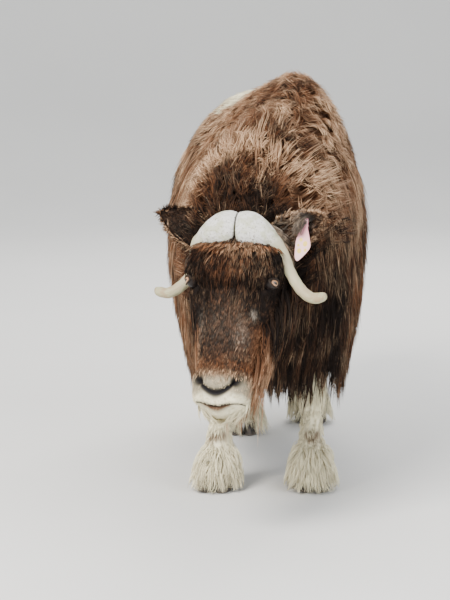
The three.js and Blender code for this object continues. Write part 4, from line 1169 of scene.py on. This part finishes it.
@dataclass
class Tag:
    """A soft plate on a stem through the ear, with a button behind."""

    head: Head
    maker: Maker
    at: Point = (182.0, 1.0, 0.0)
    thick: float = 2.4
    reach: float = 60.0
    middle: tuple[float, float] = (1.0, -62.0)

    def outline(self) -> Array:
        """Return the plate's outline, its corners cut to a quarter of their sides two times."""
        line = np.array(TAG_OUTLINE, float)
        for _ in range(2):
            ahead = np.roll(line, -1, axis=0)
            line = np.stack([lerp(line, ahead, 0.25), lerp(line, ahead, 0.75)], 1).reshape(-1, 2)
        return line

    def build(self, finish: bpy.types.Material) -> None:
        """Make the plate as rings of its outline, then the stem, the button and the stud."""
        scale = np.array([0.02, 0.3, 0.6, 0.88, 0.97, 0.99, 1.0])
        deep = np.array([0.5] * 5 + [0.45, 0.3])
        scale, deep = np.append(scale, scale[::-1]), np.append(deep, -deep[::-1])
        flat = lerp(np.array(self.middle), self.outline(), scale[:, None, None])
        x, z = flat[..., 0], flat[..., 1]
        curl = -5.0 * (x / 24) ** 2 * ease(-z, 20, 90) + 1.5 * np.sin(z / 26)
        plate = stack(x, self.thick * (deep - 0.5)[:, None] + curl, z)
        grids = [{"points": plate, "dial": stack(x / 48 + 0.5, -z / 118, 0, 1)}]
        behind = self.reach
        turned = ((
            (0.1, 1), (0.1, 1.6), (4, 1.6), (4, behind - 0.2), (0.1, behind - 0.2)
        ), (
            (0.1, behind - 3.4), (13, behind - 3.4), (14, behind - 2.8), (14, behind - 1.2),
            (13, behind - 0.6), (0.1, behind - 0.6)
        ), (
            (0.1, -3.6), (7, -3.4), (8, -2.9), (8, -1.6), (7, -1.1), (0.1, -1.1)
        ))
        phi = 2 * np.pi * shares(32)
        for rows in turned:
            r, d = (values[:, None] for values in np.transpose(rows))
            ring = stack(r * np.cos(phi), d, r * np.sin(phi))
            grids.append({"points": ring, "dial": stack(0.5, 0.99, 0.0, 1 + 0 * ring[..., 0])})
        for grid in grids:
            grid["points"] = self.head.out(self.at + grid["points"])
        self.maker.shells("pink_tag", "tag", finish, grids, ["ear_tag"])


# Finishes
def sum_of(operation: str, swapped: bool = False) -> Callable[[Wire, Any], Wire]:
    """Return a method of Wire that works out a sum, with its two values swapped if asked."""

    def method(self: Wire, other: Any) -> Wire:
        """Return the result as a new Math node."""
        first, second = (other, self) if swapped else (self, other)
        return self.graph.wire("Math", {0: first, 1: second}, operation=operation)

    return method


@dataclass(frozen=True)
class Wire:
    """A value in a shader, on which sums can be written."""

    graph: Graph
    socket: Any

    __add__ = sum_of("ADD")
    __radd__ = sum_of("ADD", True)
    __sub__ = sum_of("SUBTRACT")
    __rsub__ = sum_of("SUBTRACT", True)
    __mul__ = sum_of("MULTIPLY")
    __rmul__ = sum_of("MULTIPLY", True)
    __pow__ = sum_of("POWER")

    def clamp(self) -> Wire:
        """Return self kept between 0 and 1."""
        return self.graph.wire("Clamp", {0: self})

    def step(self, low: float, high: float) -> Wire:
        """Return a smooth step from 0 at low to 1 at high."""
        sockets = {0: self, 1: low, 2: high}
        return self.graph.wire("MapRange", sockets, interpolation_type="SMOOTHSTEP")


class Graph:
    """A material's nodes."""

    def __init__(self, name: str) -> None:
        """Start an empty material."""
        self.material = bpy.data.materials.new(name)
        self.material.use_nodes = True
        self.tree = self.material.node_tree
        self.tree.nodes.clear()

    def node(self, kind: str, sockets: dict[Any, Any], **settings: Any) -> Any:
        """Add a node.

        Args:
            kind: Its type.
            sockets: Values or wires for its inputs, by name or number.
            settings: Its own settings, which are set first.

        Returns:
            The node.
        """
        made = self.tree.nodes.new(f"ShaderNode{kind}")
        for key, value in settings.items():
            setattr(made, key, value)
        for key, value in sockets.items():
            if isinstance(value, Wire):
                self.tree.links.new(value.socket, made.inputs[key])
            else:
                made.inputs[key].default_value = value
        return made

    def wire(self, kind: str, sockets: dict[Any, Any], **settings: Any) -> Wire:
        """Add a node and return its first result."""
        return Wire(self, self.node(kind, sockets, **settings).outputs[0])

    def attribute(self, name: str) -> list[Wire]:
        """Return the four numbers of a named attribute."""
        read = self.node("Attribute", {}, attribute_name=name)
        split = self.node("SeparateColor", {0: Wire(self, read.outputs["Color"])})
        return [Wire(self, out) for out in (*split.outputs, read.outputs["Alpha"])]

    def place(self) -> Wire:
        """Return the point's own place on the object."""
        return Wire(self, self.node("TexCoord", {}).outputs["Object"])

    def stretch(self, vector: Wire, scale: Point) -> Wire:
        """Return a vector scaled along each axis."""
        return self.wire("VectorMath", {0: vector, 1: scale}, operation="MULTIPLY")

    def noise(self, vector: Wire, scale: float, detail: float = 2.0, rough: float = 0.5) -> Wire:
        """Return a noise from 0 to 1."""
        sockets = {"Vector": vector, "Scale": scale, "Detail": detail, "Roughness": rough}
        return self.wire("TexNoise", sockets)

    def mix(self, share: Any, low: Any, high: Any) -> Wire:
        """Return a colour between two colours."""
        return Wire(self, self.node("Mix", {0: share, 6: low, 7: high}, data_type="RGBA").outputs[2])

    def bump(self, height: Wire, strength: float, reach: float) -> Wire:
        """Return a normal that the height bends."""
        return self.wire("Bump", {"Height": height, "Strength": strength, "Distance": reach})

    def finish(self, colour: Wire, rough: Wire, shine: float, **more: Any) -> bpy.types.Material:
        """Close the material with one surface shader."""
        sockets = {"Base Color": colour, "Roughness": rough, "Specular IOR Level": shine}
        sockets |= {key.replace("_", " "): value for key, value in more.items()}
        self.node("OutputMaterial", {0: self.wire("BsdfPrincipled", sockets)})
        return self.material


@dataclass(frozen=True)
class Fur:
    """The colours of coat and skin, which the marks mix: from near black to cream."""

    name: str
    skin: bool = False
    dark: Colour = (0.013, 0.009, 0.0075, 1)
    brown: Colour = (0.150, 0.078, 0.046, 1)
    rust: Colour = (0.260, 0.098, 0.040, 1)
    # Blond: the hair's own pale tips, and painted sheen on the hair.
    blond: Colour = (0.78, 0.53, 0.33, 1)
    # Grey: grey hairs, and painted sheen on the bridge of the nose.
    grey: Colour = (0.46, 0.40, 0.33, 1)
    cream: Colour = (0.93, 0.86, 0.62, 1)
    bare: Colour = (0.008, 0.007, 0.008, 1)

    def material(self) -> bpy.types.Material:
        """Make the material: marks set the colour, and each hair and tuft varies it."""
        g = Graph(self.name)
        brown, rust, blond, cream = g.attribute("marks")
        place = g.place()
        wide, fine = g.noise(place, 7.0, 3.0), g.noise(place, 46.0)
        if self.skin:
            bare, _, _, grey_and_sheen = g.attribute("skin")
            grey = grey_and_sheen * 0.35
            tip, each, tuft = fine * 0.5, g.noise(place, 260.0), g.noise(place, 90.0)
            root = 0.5 + fine * 0.3
        else:
            tip, each, tuft, grey = g.attribute("strand")
            root = 0.32 + tip.step(-0.1, 0.6) * 0.68
        vary = (each - 0.5) * 0.34 + (tuft - 0.5) * 0.55 + (wide - 0.5) * 0.8
        tone = (brown + vary).clamp()
        colour = g.mix(tone, self.dark, self.brown)
        red = rust * (0.25 + each * 0.6 + tip * 0.35) * tone.step(0.05, 0.6)
        colour = g.mix(red.clamp(), colour, self.rust)
        patch = g.noise(place, 11.0).step(0.38, 0.62)
        # Blond tips: partly the hair's own pale tips, partly painted sheen.
        light = tip.step(0.15, 0.95) * (blond * 1.45 - (1 - patch) * 0.35).clamp()
        colour = g.mix((light * (0.4 + tuft) * (0.55 + each * 0.9)).clamp(), colour, self.blond)
        # Grey: grey hairs, and on the bridge of the nose painted sheen.
        colour = g.mix((grey * (0.6 + each * 0.6)).clamp(), colour, self.grey)
        pale = cream.step(0.05, 0.75) * (0.93 + (wide - 0.5) * 0.7 + (tuft - 0.5) * 0.4)
        colour = g.mix(pale.clamp(), colour, self.cream)
        shade = root + cream * (1 - root) * 0.85
        colour = g.wire("VectorMath", {0: colour, "Scale": shade}, operation="SCALE")
        rough = 0.64 + each * 0.16
        if not self.skin:
            return g.finish(colour, rough, 0.07)
        grain = g.noise(g.stretch(place, (1.0, 1.0, 0.25)), 520.0, 3.0)
        height = grain * (1 - bare) + g.noise(place, 420.0) * bare * 0.5
        return g.finish(g.mix(bare, colour, self.bare), rough * (1 - bare * 0.3), 0.07,
                        Normal=g.bump(height, 0.6, 0.003))


@dataclass(frozen=True)
class HornStuff:
    """Horn: chalky, pitted and stained at the boss, cream to tan down the shaft, dark at the tip."""

    boss: Colour = (0.66, 0.65, 0.62, 1)
    pit: Colour = (0.16, 0.13, 0.10, 1)
    shaft: Colour = (0.47, 0.41, 0.28, 1)
    tan: Colour = (0.34, 0.25, 0.14, 1)
    stain: Colour = (0.43, 0.44, 0.27, 1)
    tip: Colour = (0.05, 0.04, 0.035, 1)

    def material(self) -> bpy.types.Material:
        """Make the material from the place along the horn, with grain drawn out along it."""
        g = Graph("horn_stuff")
        along, turn, furrow, _ = g.attribute("dial")
        place = g.place()
        speck, cloud = g.noise(place, 170.0, 4.0, 0.65), g.noise(place, 22.0, 3.0)
        moss, crust = g.noise(place, 38.0, 5.0, 0.62), g.noise(place, 85.0, 5.0, 0.7)
        base = 1 - along.step(0.25, 0.5)
        across = (turn - 0.5) * (turn - 0.5) * 60
        streak = g.noise(g.wire("CombineXYZ", {0: along * 7, 1: across}), 1.0, 4.0, 0.6)
        colour = g.mix(along.step(0.2, 0.42), self.boss, self.shaft)
        colour = g.mix((along.step(0.5, 0.95) * (0.45 + cloud)).clamp(), colour, self.tan)
        pits = speck.step(0.54, 0.68) * base * 0.7 + crust.step(0.58, 0.70) * base * 0.5
        pits = pits + (1 - furrow.step(0.05, 0.35)) * 0.2 * (1 - along.step(0.2, 0.4))
        colour = g.mix(pits.clamp(), colour, self.pit)
        colour = g.mix((moss.step(0.44, 0.60) * 0.75 * (cloud + 0.35)).clamp(), colour, self.stain)
        colour = g.mix(streak.step(0.48, 0.72) * along.step(0.28, 0.5) * 0.6, colour, self.tan)
        colour = g.mix(along.step(0.982, 0.998), colour, self.tip)
        rough = 0.42 + speck * 0.35 - along.step(0.4, 0.9) * 0.12
        height = speck * 0.5 + streak * 0.6 + (crust + moss) * base
        return g.finish(colour, rough, 0.4, Normal=g.bump(height, 0.8, 0.004))


@dataclass(frozen=True)
class EyeStuff:
    """An eye: a level dark pupil in amber brown, with a black ring and a dark rim."""

    pupil: Colour = (0.004, 0.004, 0.005, 1)
    iris: Colour = (0.30, 0.14, 0.06, 1)
    fleck: Colour = (0.56, 0.33, 0.19, 1)
    rim: Colour = (0.012, 0.008, 0.007, 1)

    def material(self) -> bpy.types.Material:
        """Make the material from distances to the pole that looks out."""
        g = Graph("eye_stuff")
        across, up, _, _ = g.attribute("dial")
        u, v = across * 2 - 1, up * 2 - 1
        far = (u * u + v * v) ** 0.5
        slot = (u * u * 0.45 + v * v * 2.1) ** 0.5
        colour = g.mix(g.noise(g.place(), 900.0).step(0.35, 0.7), self.iris, self.fleck)
        colour = g.mix(far.step(0.50, 0.62), colour, self.pupil)
        colour = g.mix(far.step(0.64, 0.76), colour, self.rim)
        colour = g.mix(1 - slot.step(0.20, 0.27), colour, self.pupil)
        return g.finish(colour, 0.31 + far.step(0.6, 0.9) * 0.1, 0.2, Coat_Roughness=0.02,
                        Coat_Weight=(1 - far.step(0.55, 0.75)) * 0.8)


@dataclass(frozen=True)
class HoofStuff:
    """Hoof: dark grey horn with rings of growth, paler where it is scuffed."""

    dark: Colour = (0.030, 0.025, 0.023, 1)
    worn: Colour = (0.14, 0.115, 0.09, 1)

    def material(self) -> bpy.types.Material:
        """Make the material from the height on the claw and a drawn-out noise."""
        g = Graph("hoof_stuff")
        height = g.attribute("dial")[0]
        place = g.place()
        rings = g.noise(g.stretch(place, (8.0, 8.0, 190.0)), 1.0, 3.0)
        scuff = g.noise(place, 55.0, 4.0, 0.6)
        worn = scuff.step(0.45, 0.7) * 0.6 + (1 - height.step(0.0, 0.45)) * 0.5 + (rings - 0.5)
        return g.finish(g.mix(worn.clamp(), self.dark, self.worn), 0.48 + scuff * 0.3, 0.5,
                        Normal=g.bump(rings + scuff * 0.4, 0.6, 0.0015))


@dataclass(frozen=True)
class TagStuff:
    """A plate that fades from pink at its neck, with plain dots."""

    pink: Colour = (0.62, 0.24, 0.29, 1)
    faded: Colour = (0.78, 0.47, 0.46, 1)
    dot: Colour = (0.72, 0.50, 0.05, 1)
    dots: tuple[Point, ...] = (
        (0.34, 0.74, 0.13), (0.66, 0.56, 0.14), (0.38, 0.46, 0.10), (0.70, 0.72, 0.09), (0.26, 0.60, 0.07))

    def material(self) -> bpy.types.Material:
        """Make the material: dots are discs in the plate's own coordinates."""
        g = Graph("tag_stuff")
        across, down, _, _ = g.attribute("dial")
        cloud = g.noise(g.place(), 70.0, 3.0)
        colour = g.mix((cloud * 0.5 + down.step(0.15, 0.65) * 0.9 - 0.2).clamp(), self.pink, self.faded)
        for x, y, size in self.dots:
            u, v = across - x, (down - y) * 2.0
            near = 1 - ((u * u + v * v) ** 0.5).step(size * 0.85, size * 1.1)
            colour = g.mix(near * 0.95, colour, self.dot)
        return g.finish(colour, 0.42 + cloud * 0.2, 0.5, Normal=g.bump(cloud, 0.15, 0.001))


@dataclass(frozen=True)
class Plain:
    """A stained surface of two near colours."""

    name: str
    low: Colour
    high: Colour
    scale: float
    rough: float
    shine: float = 0.5

    def material(self) -> bpy.types.Material:
        """Make the material from one noise."""
        g = Graph(self.name)
        cloud = g.noise(g.place(), self.scale, 3.0)
        return g.finish(g.mix(cloud, self.low, self.high), self.rough + cloud * 0.1, self.shine)


FLOOR = Plain("floor_stuff", (0.68, 0.675, 0.66, 1), (0.74, 0.735, 0.72, 1), 1.3, 0.8)
LID = Plain("lid_stuff", (0.016, 0.012, 0.010, 1), (0.045, 0.033, 0.026, 1), 300.0, 0.7, 0.1)


# The whole
@dataclass
class Studio:
    """The camera, the pale floor and the soft lights, in metres and degrees.

    far and high say how far off and how high the camera stands, and aside how far round it is;
    heading and nod are how far it turns aside and down.
    """

    shift: Array
    aside: float = 2.0
    far: float = 7.0
    high: float = 1.75
    heading: float = 0.88
    nod: float = 9.39
    lens: float = 92.0
    air: Colour = (0.94, 0.97, 1.0, 1)

    def build(self) -> None:
        """Set the camera by the photo's fit, and lay the floor and lights."""
        angle = math.radians(self.aside)
        lens = bpy.data.cameras.new("camera")
        lens.sensor_fit = "VERTICAL"
        lens.sensor_height = 24.0
        lens.lens = self.lens
        camera = add_object("camera", lens)
        place = np.array([-math.sin(angle) * self.far, -math.cos(angle) * self.far, self.high])
        camera.location = place + self.shift * np.array([1, 1, 0])
        camera.rotation_euler = (math.radians(90 - self.nod), 0, -math.radians(self.heading))
        bpy.context.scene.camera = camera
        self._floor()
        self._lights()

    @staticmethod
    def _floor(count: int = 60) -> None:
        """Lay the floor: a sheet that curves up a long way behind as a quarter of a circle."""
        t = np.linspace(0, 1, count)
        bend = np.clip((t - 0.6) / 0.4, 0, 1) * np.pi / 2
        y = lerp(-9.0, 6.0, np.minimum(t / 0.6, 1)) + 4.0 * np.sin(bend)
        z = 4.0 * (1 - np.cos(bend)) - 0.0005
        points = np.concatenate([stack(x, y, z) for x in (-12.0, 12.0)])
        a = np.arange(count - 1)
        mesh = bpy.data.meshes.new("floor")
        mesh.from_pydata(points.tolist(), [], stack(a, a + count, a + count + 1, a + 1).tolist())
        mesh.polygons.foreach_set("use_smooth", np.ones(count - 1, bool))
        mesh.materials.append(FLOOR.material())
        floor = add_object("floor", mesh)

    def _lights(self) -> None:
        """Set a wide key high on the left, a fill on the right, a back light and pale air."""
        world = bpy.data.worlds.new("air")
        world.use_nodes = True
        sky = world.node_tree.nodes["Background"]
        sky.inputs[0].default_value, sky.inputs[1].default_value = self.air, 0.95
        bpy.context.scene.world = world
        rows = (
            ("key", (-2.6, -4.2, 4.6), 2.4, 780.0, (1.0, 0.96, 0.90)),
            ("fill", (4.2, -4.6, 2.6), 3.0, 190.0, (0.92, 0.96, 1.0)),
            ("back", (1.0, 4.2, 4.4), 3.0, 300.0, (1.0, 0.98, 0.95)),
        )
        for name, at, size, power, colour in rows:
            light = bpy.data.lights.new(name, "AREA")
            light.size, light.energy, light.color = size, power, colour
            lamp = add_object(name, light)
            lamp.location = at
            x, y, z = np.subtract(at, (0.0, -0.1, 0.75))
            lamp.rotation_euler = (math.atan2(math.hypot(x, y), z), 0, math.atan2(x, -y))


LEGS = (
    ("front_left", FORELEG, 133, 0, -2, 4),
    ("front_right", FORELEG, -168, 0, 36, -10),
    ("hind_left", HIND_LEG, 184, 980, -42, 6),
    ("hind_right", HIND_LEG, -52, 800, -62, -6),
)
TRUNK_COAT = (
    (Tress("skirt", "long_coat", 6800, 4, (200, 330), 4.2, 8, 12, 0.7, (0, 18), 6, 0.9),
     Zone((-330, 1232), (120, 400), 0.04, 1.0, True)),
    (Tress("flank", "long_coat", 10100, 4, (150, 260), 4.0, 8, 12, 0.7, (0, 22), 6, 0.9),
     Zone((-300, 1233), (240, 720), 0.06, 1.0)),
    (Tress("chest", "long_coat", 4600, 4, (110, 220), 4.0, 7, 11, 0.7, (2, 16), 6, 0.9),
     Zone((-408, -60), (280, 760), -0.05, 1.0)),
    (Tress("breast", "long_coat", 2600, 4, (70, 170), 4.0, 7, 11, 0.7, (0, 8), 6, 0.9, 4, fall=4.0),
     None),
    (Tress("rump", "long_coat", 4800, 4, (90, 150), 4.2, 8, 10, 0.75, (2, 12), 5, 1.0),
     Zone((640, 1233), (-40, 330), 0.5, 0.8)),
    (Tress("saddle", "mane", 4600, 4, (56, 92), 3.2, 4, 10, 0.3, (2, 12), 5, 0.8, stray=0.35),
     Zone((250, 960), (-40, 300), 0.75, 0.45)),
    (Tress("nape", "mane", 8400, 4, (40, 74), 2.5, 6, 12, 0.3, (14, 36), 8, 0.9, stray=0.6),
     Zone((-408, -150), (-110, 440), 0.4, 0.45)),
    (Tress("hump", "mane", 9300, 4, (42, 76), 2.6, 6, 11, 0.35, (2, 14), 7, 0.9, stray=0.45),
     Zone((-190, 330), (-80, 440), -0.05, 0.85)),
)


@dataclass
class Muskox:
    """The whole animal."""

    maker: Maker
    head: Head
    trunk: Trunk = field(default_factory=Trunk)

    def build(self) -> None:
        """Build each part and its finish, in order."""
        fur = Fur("coat_stuff").material()
        hide = Fur("hide_stuff", skin=True).material()
        legs = [Leg(*row, block) for block, row in enumerate(LEGS)]
        sheets = {"trunk": self.trunk.skin(), "head": self.head.skin(), "tail": Tail().skin()}
        sheets |= {leg.name: leg.skin() for leg in legs}
        sheets |= {f"ear_{side.word}": Ear(side, self.head).skin() for side in Side}
        self._hide(sheets, hide)
        horn, eye, hoof = HornStuff().material(), EyeStuff().material(), HoofStuff().material()
        lid = LID.material()
        for side in Side:
            Horn(side, self.head, self.maker).build(horn)
            Eye(side, self.head, self.maker).build(eye, lid)
            for leg in legs:
                Hoof(leg, side, self.maker).build(hoof)
        Tag(self.head, self.maker).build(TagStuff().material())
        barber = Barber(self.trunk, self.head, self.maker, fur)
        self._trunk_coat(barber, sheets["trunk"])
        self._head_coat(barber, sheets["head"])
        self._leg_coats(barber, sheets)
        self._ear_coats(barber, sheets)
        barber.sheet_coat(Tress("tail", "long_coat", 500, 4, (40, 70), 3.2, 6, 5, 0.7, (2, 6), 2, 0.8, 2),
                          sheets["tail"], np.ones(sheets["tail"].points.shape[:2]), LEVEL)
        LOG.info("coat: %d triangles", barber.total)

    def _hide(self, sheets: dict[str, Sheet], finish: bpy.types.Material) -> None:
        """Join the skins of all parts into one object, which stands for the flesh."""
        grids = [{"points": sheet.points, "marks": sheet.marks, "OFBake": sheet.uv,
                  "skin": stack(sheet.extra[..., 0], 0, 0, sheet.extra[..., 1])}
                 for sheet in sheets.values()]
        flesh = ["torso", "neck", "head", "ear_left", "ear_right", "tail"]
        flesh += [f"leg_{row[0]}" for row in LEGS]
        self.maker.shells("hide", "long_coat", finish, grids, flesh)

    def _trunk_coat(self, barber: Barber, sheet: Sheet) -> None:
        """Lay the long coat, from the skirt up to the hump.

        The breast's hair has no zone: it hangs from under the neck and chest, down to the skirt.
        """
        y = sheet.points[..., 1]
        under = ease(-sheet.normals()[..., 2], 0.5, 0.9) * ease(-y, -60, 20) * ease(y, -372, -340)
        for tress, zone in TRUNK_COAT:
            if zone:
                barber.trunk_coat(tress, zone)
            else:
                barber.sheet_coat(tress, sheet, under, np.array([0.0, 1.0, -0.2]))

    def _head_coat(self, barber: Barber, sheet: Sheet) -> None:
        """Lay the hair of the head: short on the face, a deep pad at the brow, long at the jaw."""
        x, y, z = folded(self.head.local)
        across = self.head.local[..., 0]
        ex, ey, ez = self.head.eye
        eye = ease(np.sqrt((x - ex) ** 2 + (y - ey) ** 2 + ((z - ez) * 1.25) ** 2), 16, 22)
        clear = (1 - np.clip(sheet.extra[..., 0] * 2, 0, 1)) * eye
        front = ease(-y, -30, 40)
        down = unit(np.gradient(sheet.points, axis=0))
        part = sheet.points - self.head.out(np.array([0.0, 0.0, -200.0]))
        face = unit(down + 0.25 * unit(part * np.array([1, 1, 0.2])))
        hang = unit(down + 0.35 * LEVEL)
        muzzle = ease(-z, 440, 500)
        pad = bell(z, -150 + 30 * ease(x, 60, 110), 48) * ease(128 - x, 0, 40) * front * clear
        jaw = ease(-z, 120, 180) * ease(y, -40, 30) * clear
        crown = ease(z, -70, -20) * clear * ease(115 - x, 0, 30)
        rows = (
            (Tress("face", "face", 12400, 3, (18, 30), 2.1, 4, 5, 0.35, (1, 5), 1.2, 0.5, 2),
             clear * ease(-z, 100, 150) * (1 - muzzle) * ease(90 - y, 0, 60), face),
            (Tress("muzzle", "face", 6000, 3, (5, 8), 1.4, 3, 4, 0.2, (0.6, 1.8), 0.4, 0.5, 1),
             clear * muzzle, face),
            (Tress("pad", "face", 5400, 4, (32, 54), 2.2, 5, 6, 0.4, (6, 20), 3, 0.8, 3), pad, face),
            (Tress("cheek_left", "face", 3200, 4, (62, 128), 2.8, 6, 10, 0.6, (16, 68), 8, 0.9, 4, sag=0.4),
             jaw * ease(500 + z, 0, 80) * (across > 0), hang),
            (Tress("cheek_right", "face", 2000, 4, (55, 110), 2.8, 6, 9, 0.65, (4, 18), 5, 0.9, 4, sag=0.35),
             jaw * ease(430 + z, 0, 80) * (across < 0), hang),
            (Tress("crown", "face", 2400, 4, (34, 62), 2.0, 4, 8, 0.3, (6, 22), 5, 0.9, 4, 0.16, 0.1),
             crown + 0.3 * ease(z, -160, -60) * (1 - front), face),
            (Tress("chin", "face", 900, 4, (20, 40), 2.2, 7, 6, 0.6, (2, 6), 2, 0.8, 2, sag=0.3),
             ease(-z, 520, 560) * ease(y, -50, 10) * clear, unit(down + LEVEL)),
        )
        for tress, weight, flow in rows:
            barber.sheet_coat(tress, sheet, weight, flow)

    def _leg_coats(self, barber: Barber, sheets: dict[str, Sheet]) -> None:
        """Lay the short hair of the legs and the long hair of the feet."""
        for name, path, *_ in LEGS:
            z = sheets[name].points[..., 2]
            leg, foot = (2600, 2000) if path is FORELEG else (1500, 1000)
            barber.sheet_coat(
                Tress(f"leg_{name}", "leg_hair", leg, 3, (22, 36), 2.4, 3, 6, 0.3, (8, 15), 1.5, 0.7, 3),
                sheets[name], ease(z, 58, 80) * ease(-z, -470, -400), LEVEL)
            barber.sheet_coat(
                Tress(f"foot_{name}", "leg_hair", foot, 4, (40, 92), 2.5, 4, 10, 0.25, (14, 54), 3, 0.8, 3,
                      sag=0.2, stray=0.3),
                sheets[name], ease(z, 52, 66) * ease(-z, -160, -100), LEVEL)

    def _ear_coats(self, barber: Barber, sheets: dict[str, Sheet]) -> None:
        """Lay the hair behind, in and round the ears, and the tuft over the tag's neck."""
        rows, columns = sheets["ear_left"].points.shape[:2]
        share, column = np.linspace(0, 1, rows)[:, None], shares(columns)
        rim = ease(np.abs(np.cos(2 * np.pi * column)), 0.90, 0.99) * ease(share, 0.08, 0.25)
        inner = (column >= 0.5) + 0 * share
        for side in Side:
            sheet = sheets[f"ear_{side.word}"]
            along = np.gradient(sheet.points, axis=0)
            spread = unit(sheet.points - sheet.points.mean(axis=1, keepdims=True))
            coats = (
                (Tress("ear", "ear", 1700, 4, (14, 28), 2.2, 4, 5, 0.3, (3, 8), 2, 0.7, 2, sag=0.15),
                 1 - inner, along),
                (Tress("ear_tuft", "ear", 420, 4, (26, 46), 1.8, 6, 6, 0.6, (6, 22), 3, 0.7, 2,
                       grey=0.18, stray=0.4), inner * ease(-share, -0.75, -0.35), along),
                (Tress("ear_cup", "ear", 1400, 3, (14, 26), 2.0, 4, 5, 0.3, (2, 8), 2, 0.7, 1, stray=0.3),
                 inner, along),
                (Tress("ear_rim", "ear", 900, 3, (12, 24), 2.0, 4, 5, 0.3, (0, 7), 2, 0.7, 2, stray=0.4),
                 rim, spread + 0.5 * unit(along)),
            )
            for tress, weight, flow in coats:
                named = replace(tress, name=f"{tress.name}_{side.word}")
                barber.sheet_coat(named, sheet, weight, flow)
        tag = Tress("tag_tuft", "ear", 170, 4, (38, 58), 1.8, 5, 7, 0.5, (110, 160), 4, 0.7, 2, grey=0.3)
        barber.sheet_coat(tag, sheets["ear_left"], bell(share, 0.62, 0.04) * (column > 0.82), LEVEL)


def main() -> None:
    """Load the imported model, build the animal round it, and set the camera."""
    logging.basicConfig(level=logging.INFO, format="%(message)s")
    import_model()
    head = Head()
    low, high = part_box("eye_left")
    middle = (np.asarray(low) + np.asarray(high)) / 2
    shift = middle - head.out(np.asarray(head.eye)) * MM
    shift[2] = 0.0
    LOG.info("shift %s", shift)
    Muskox(Maker(shift), head).build()
    Studio(shift).build()


if __name__ == "__main__":
    main()
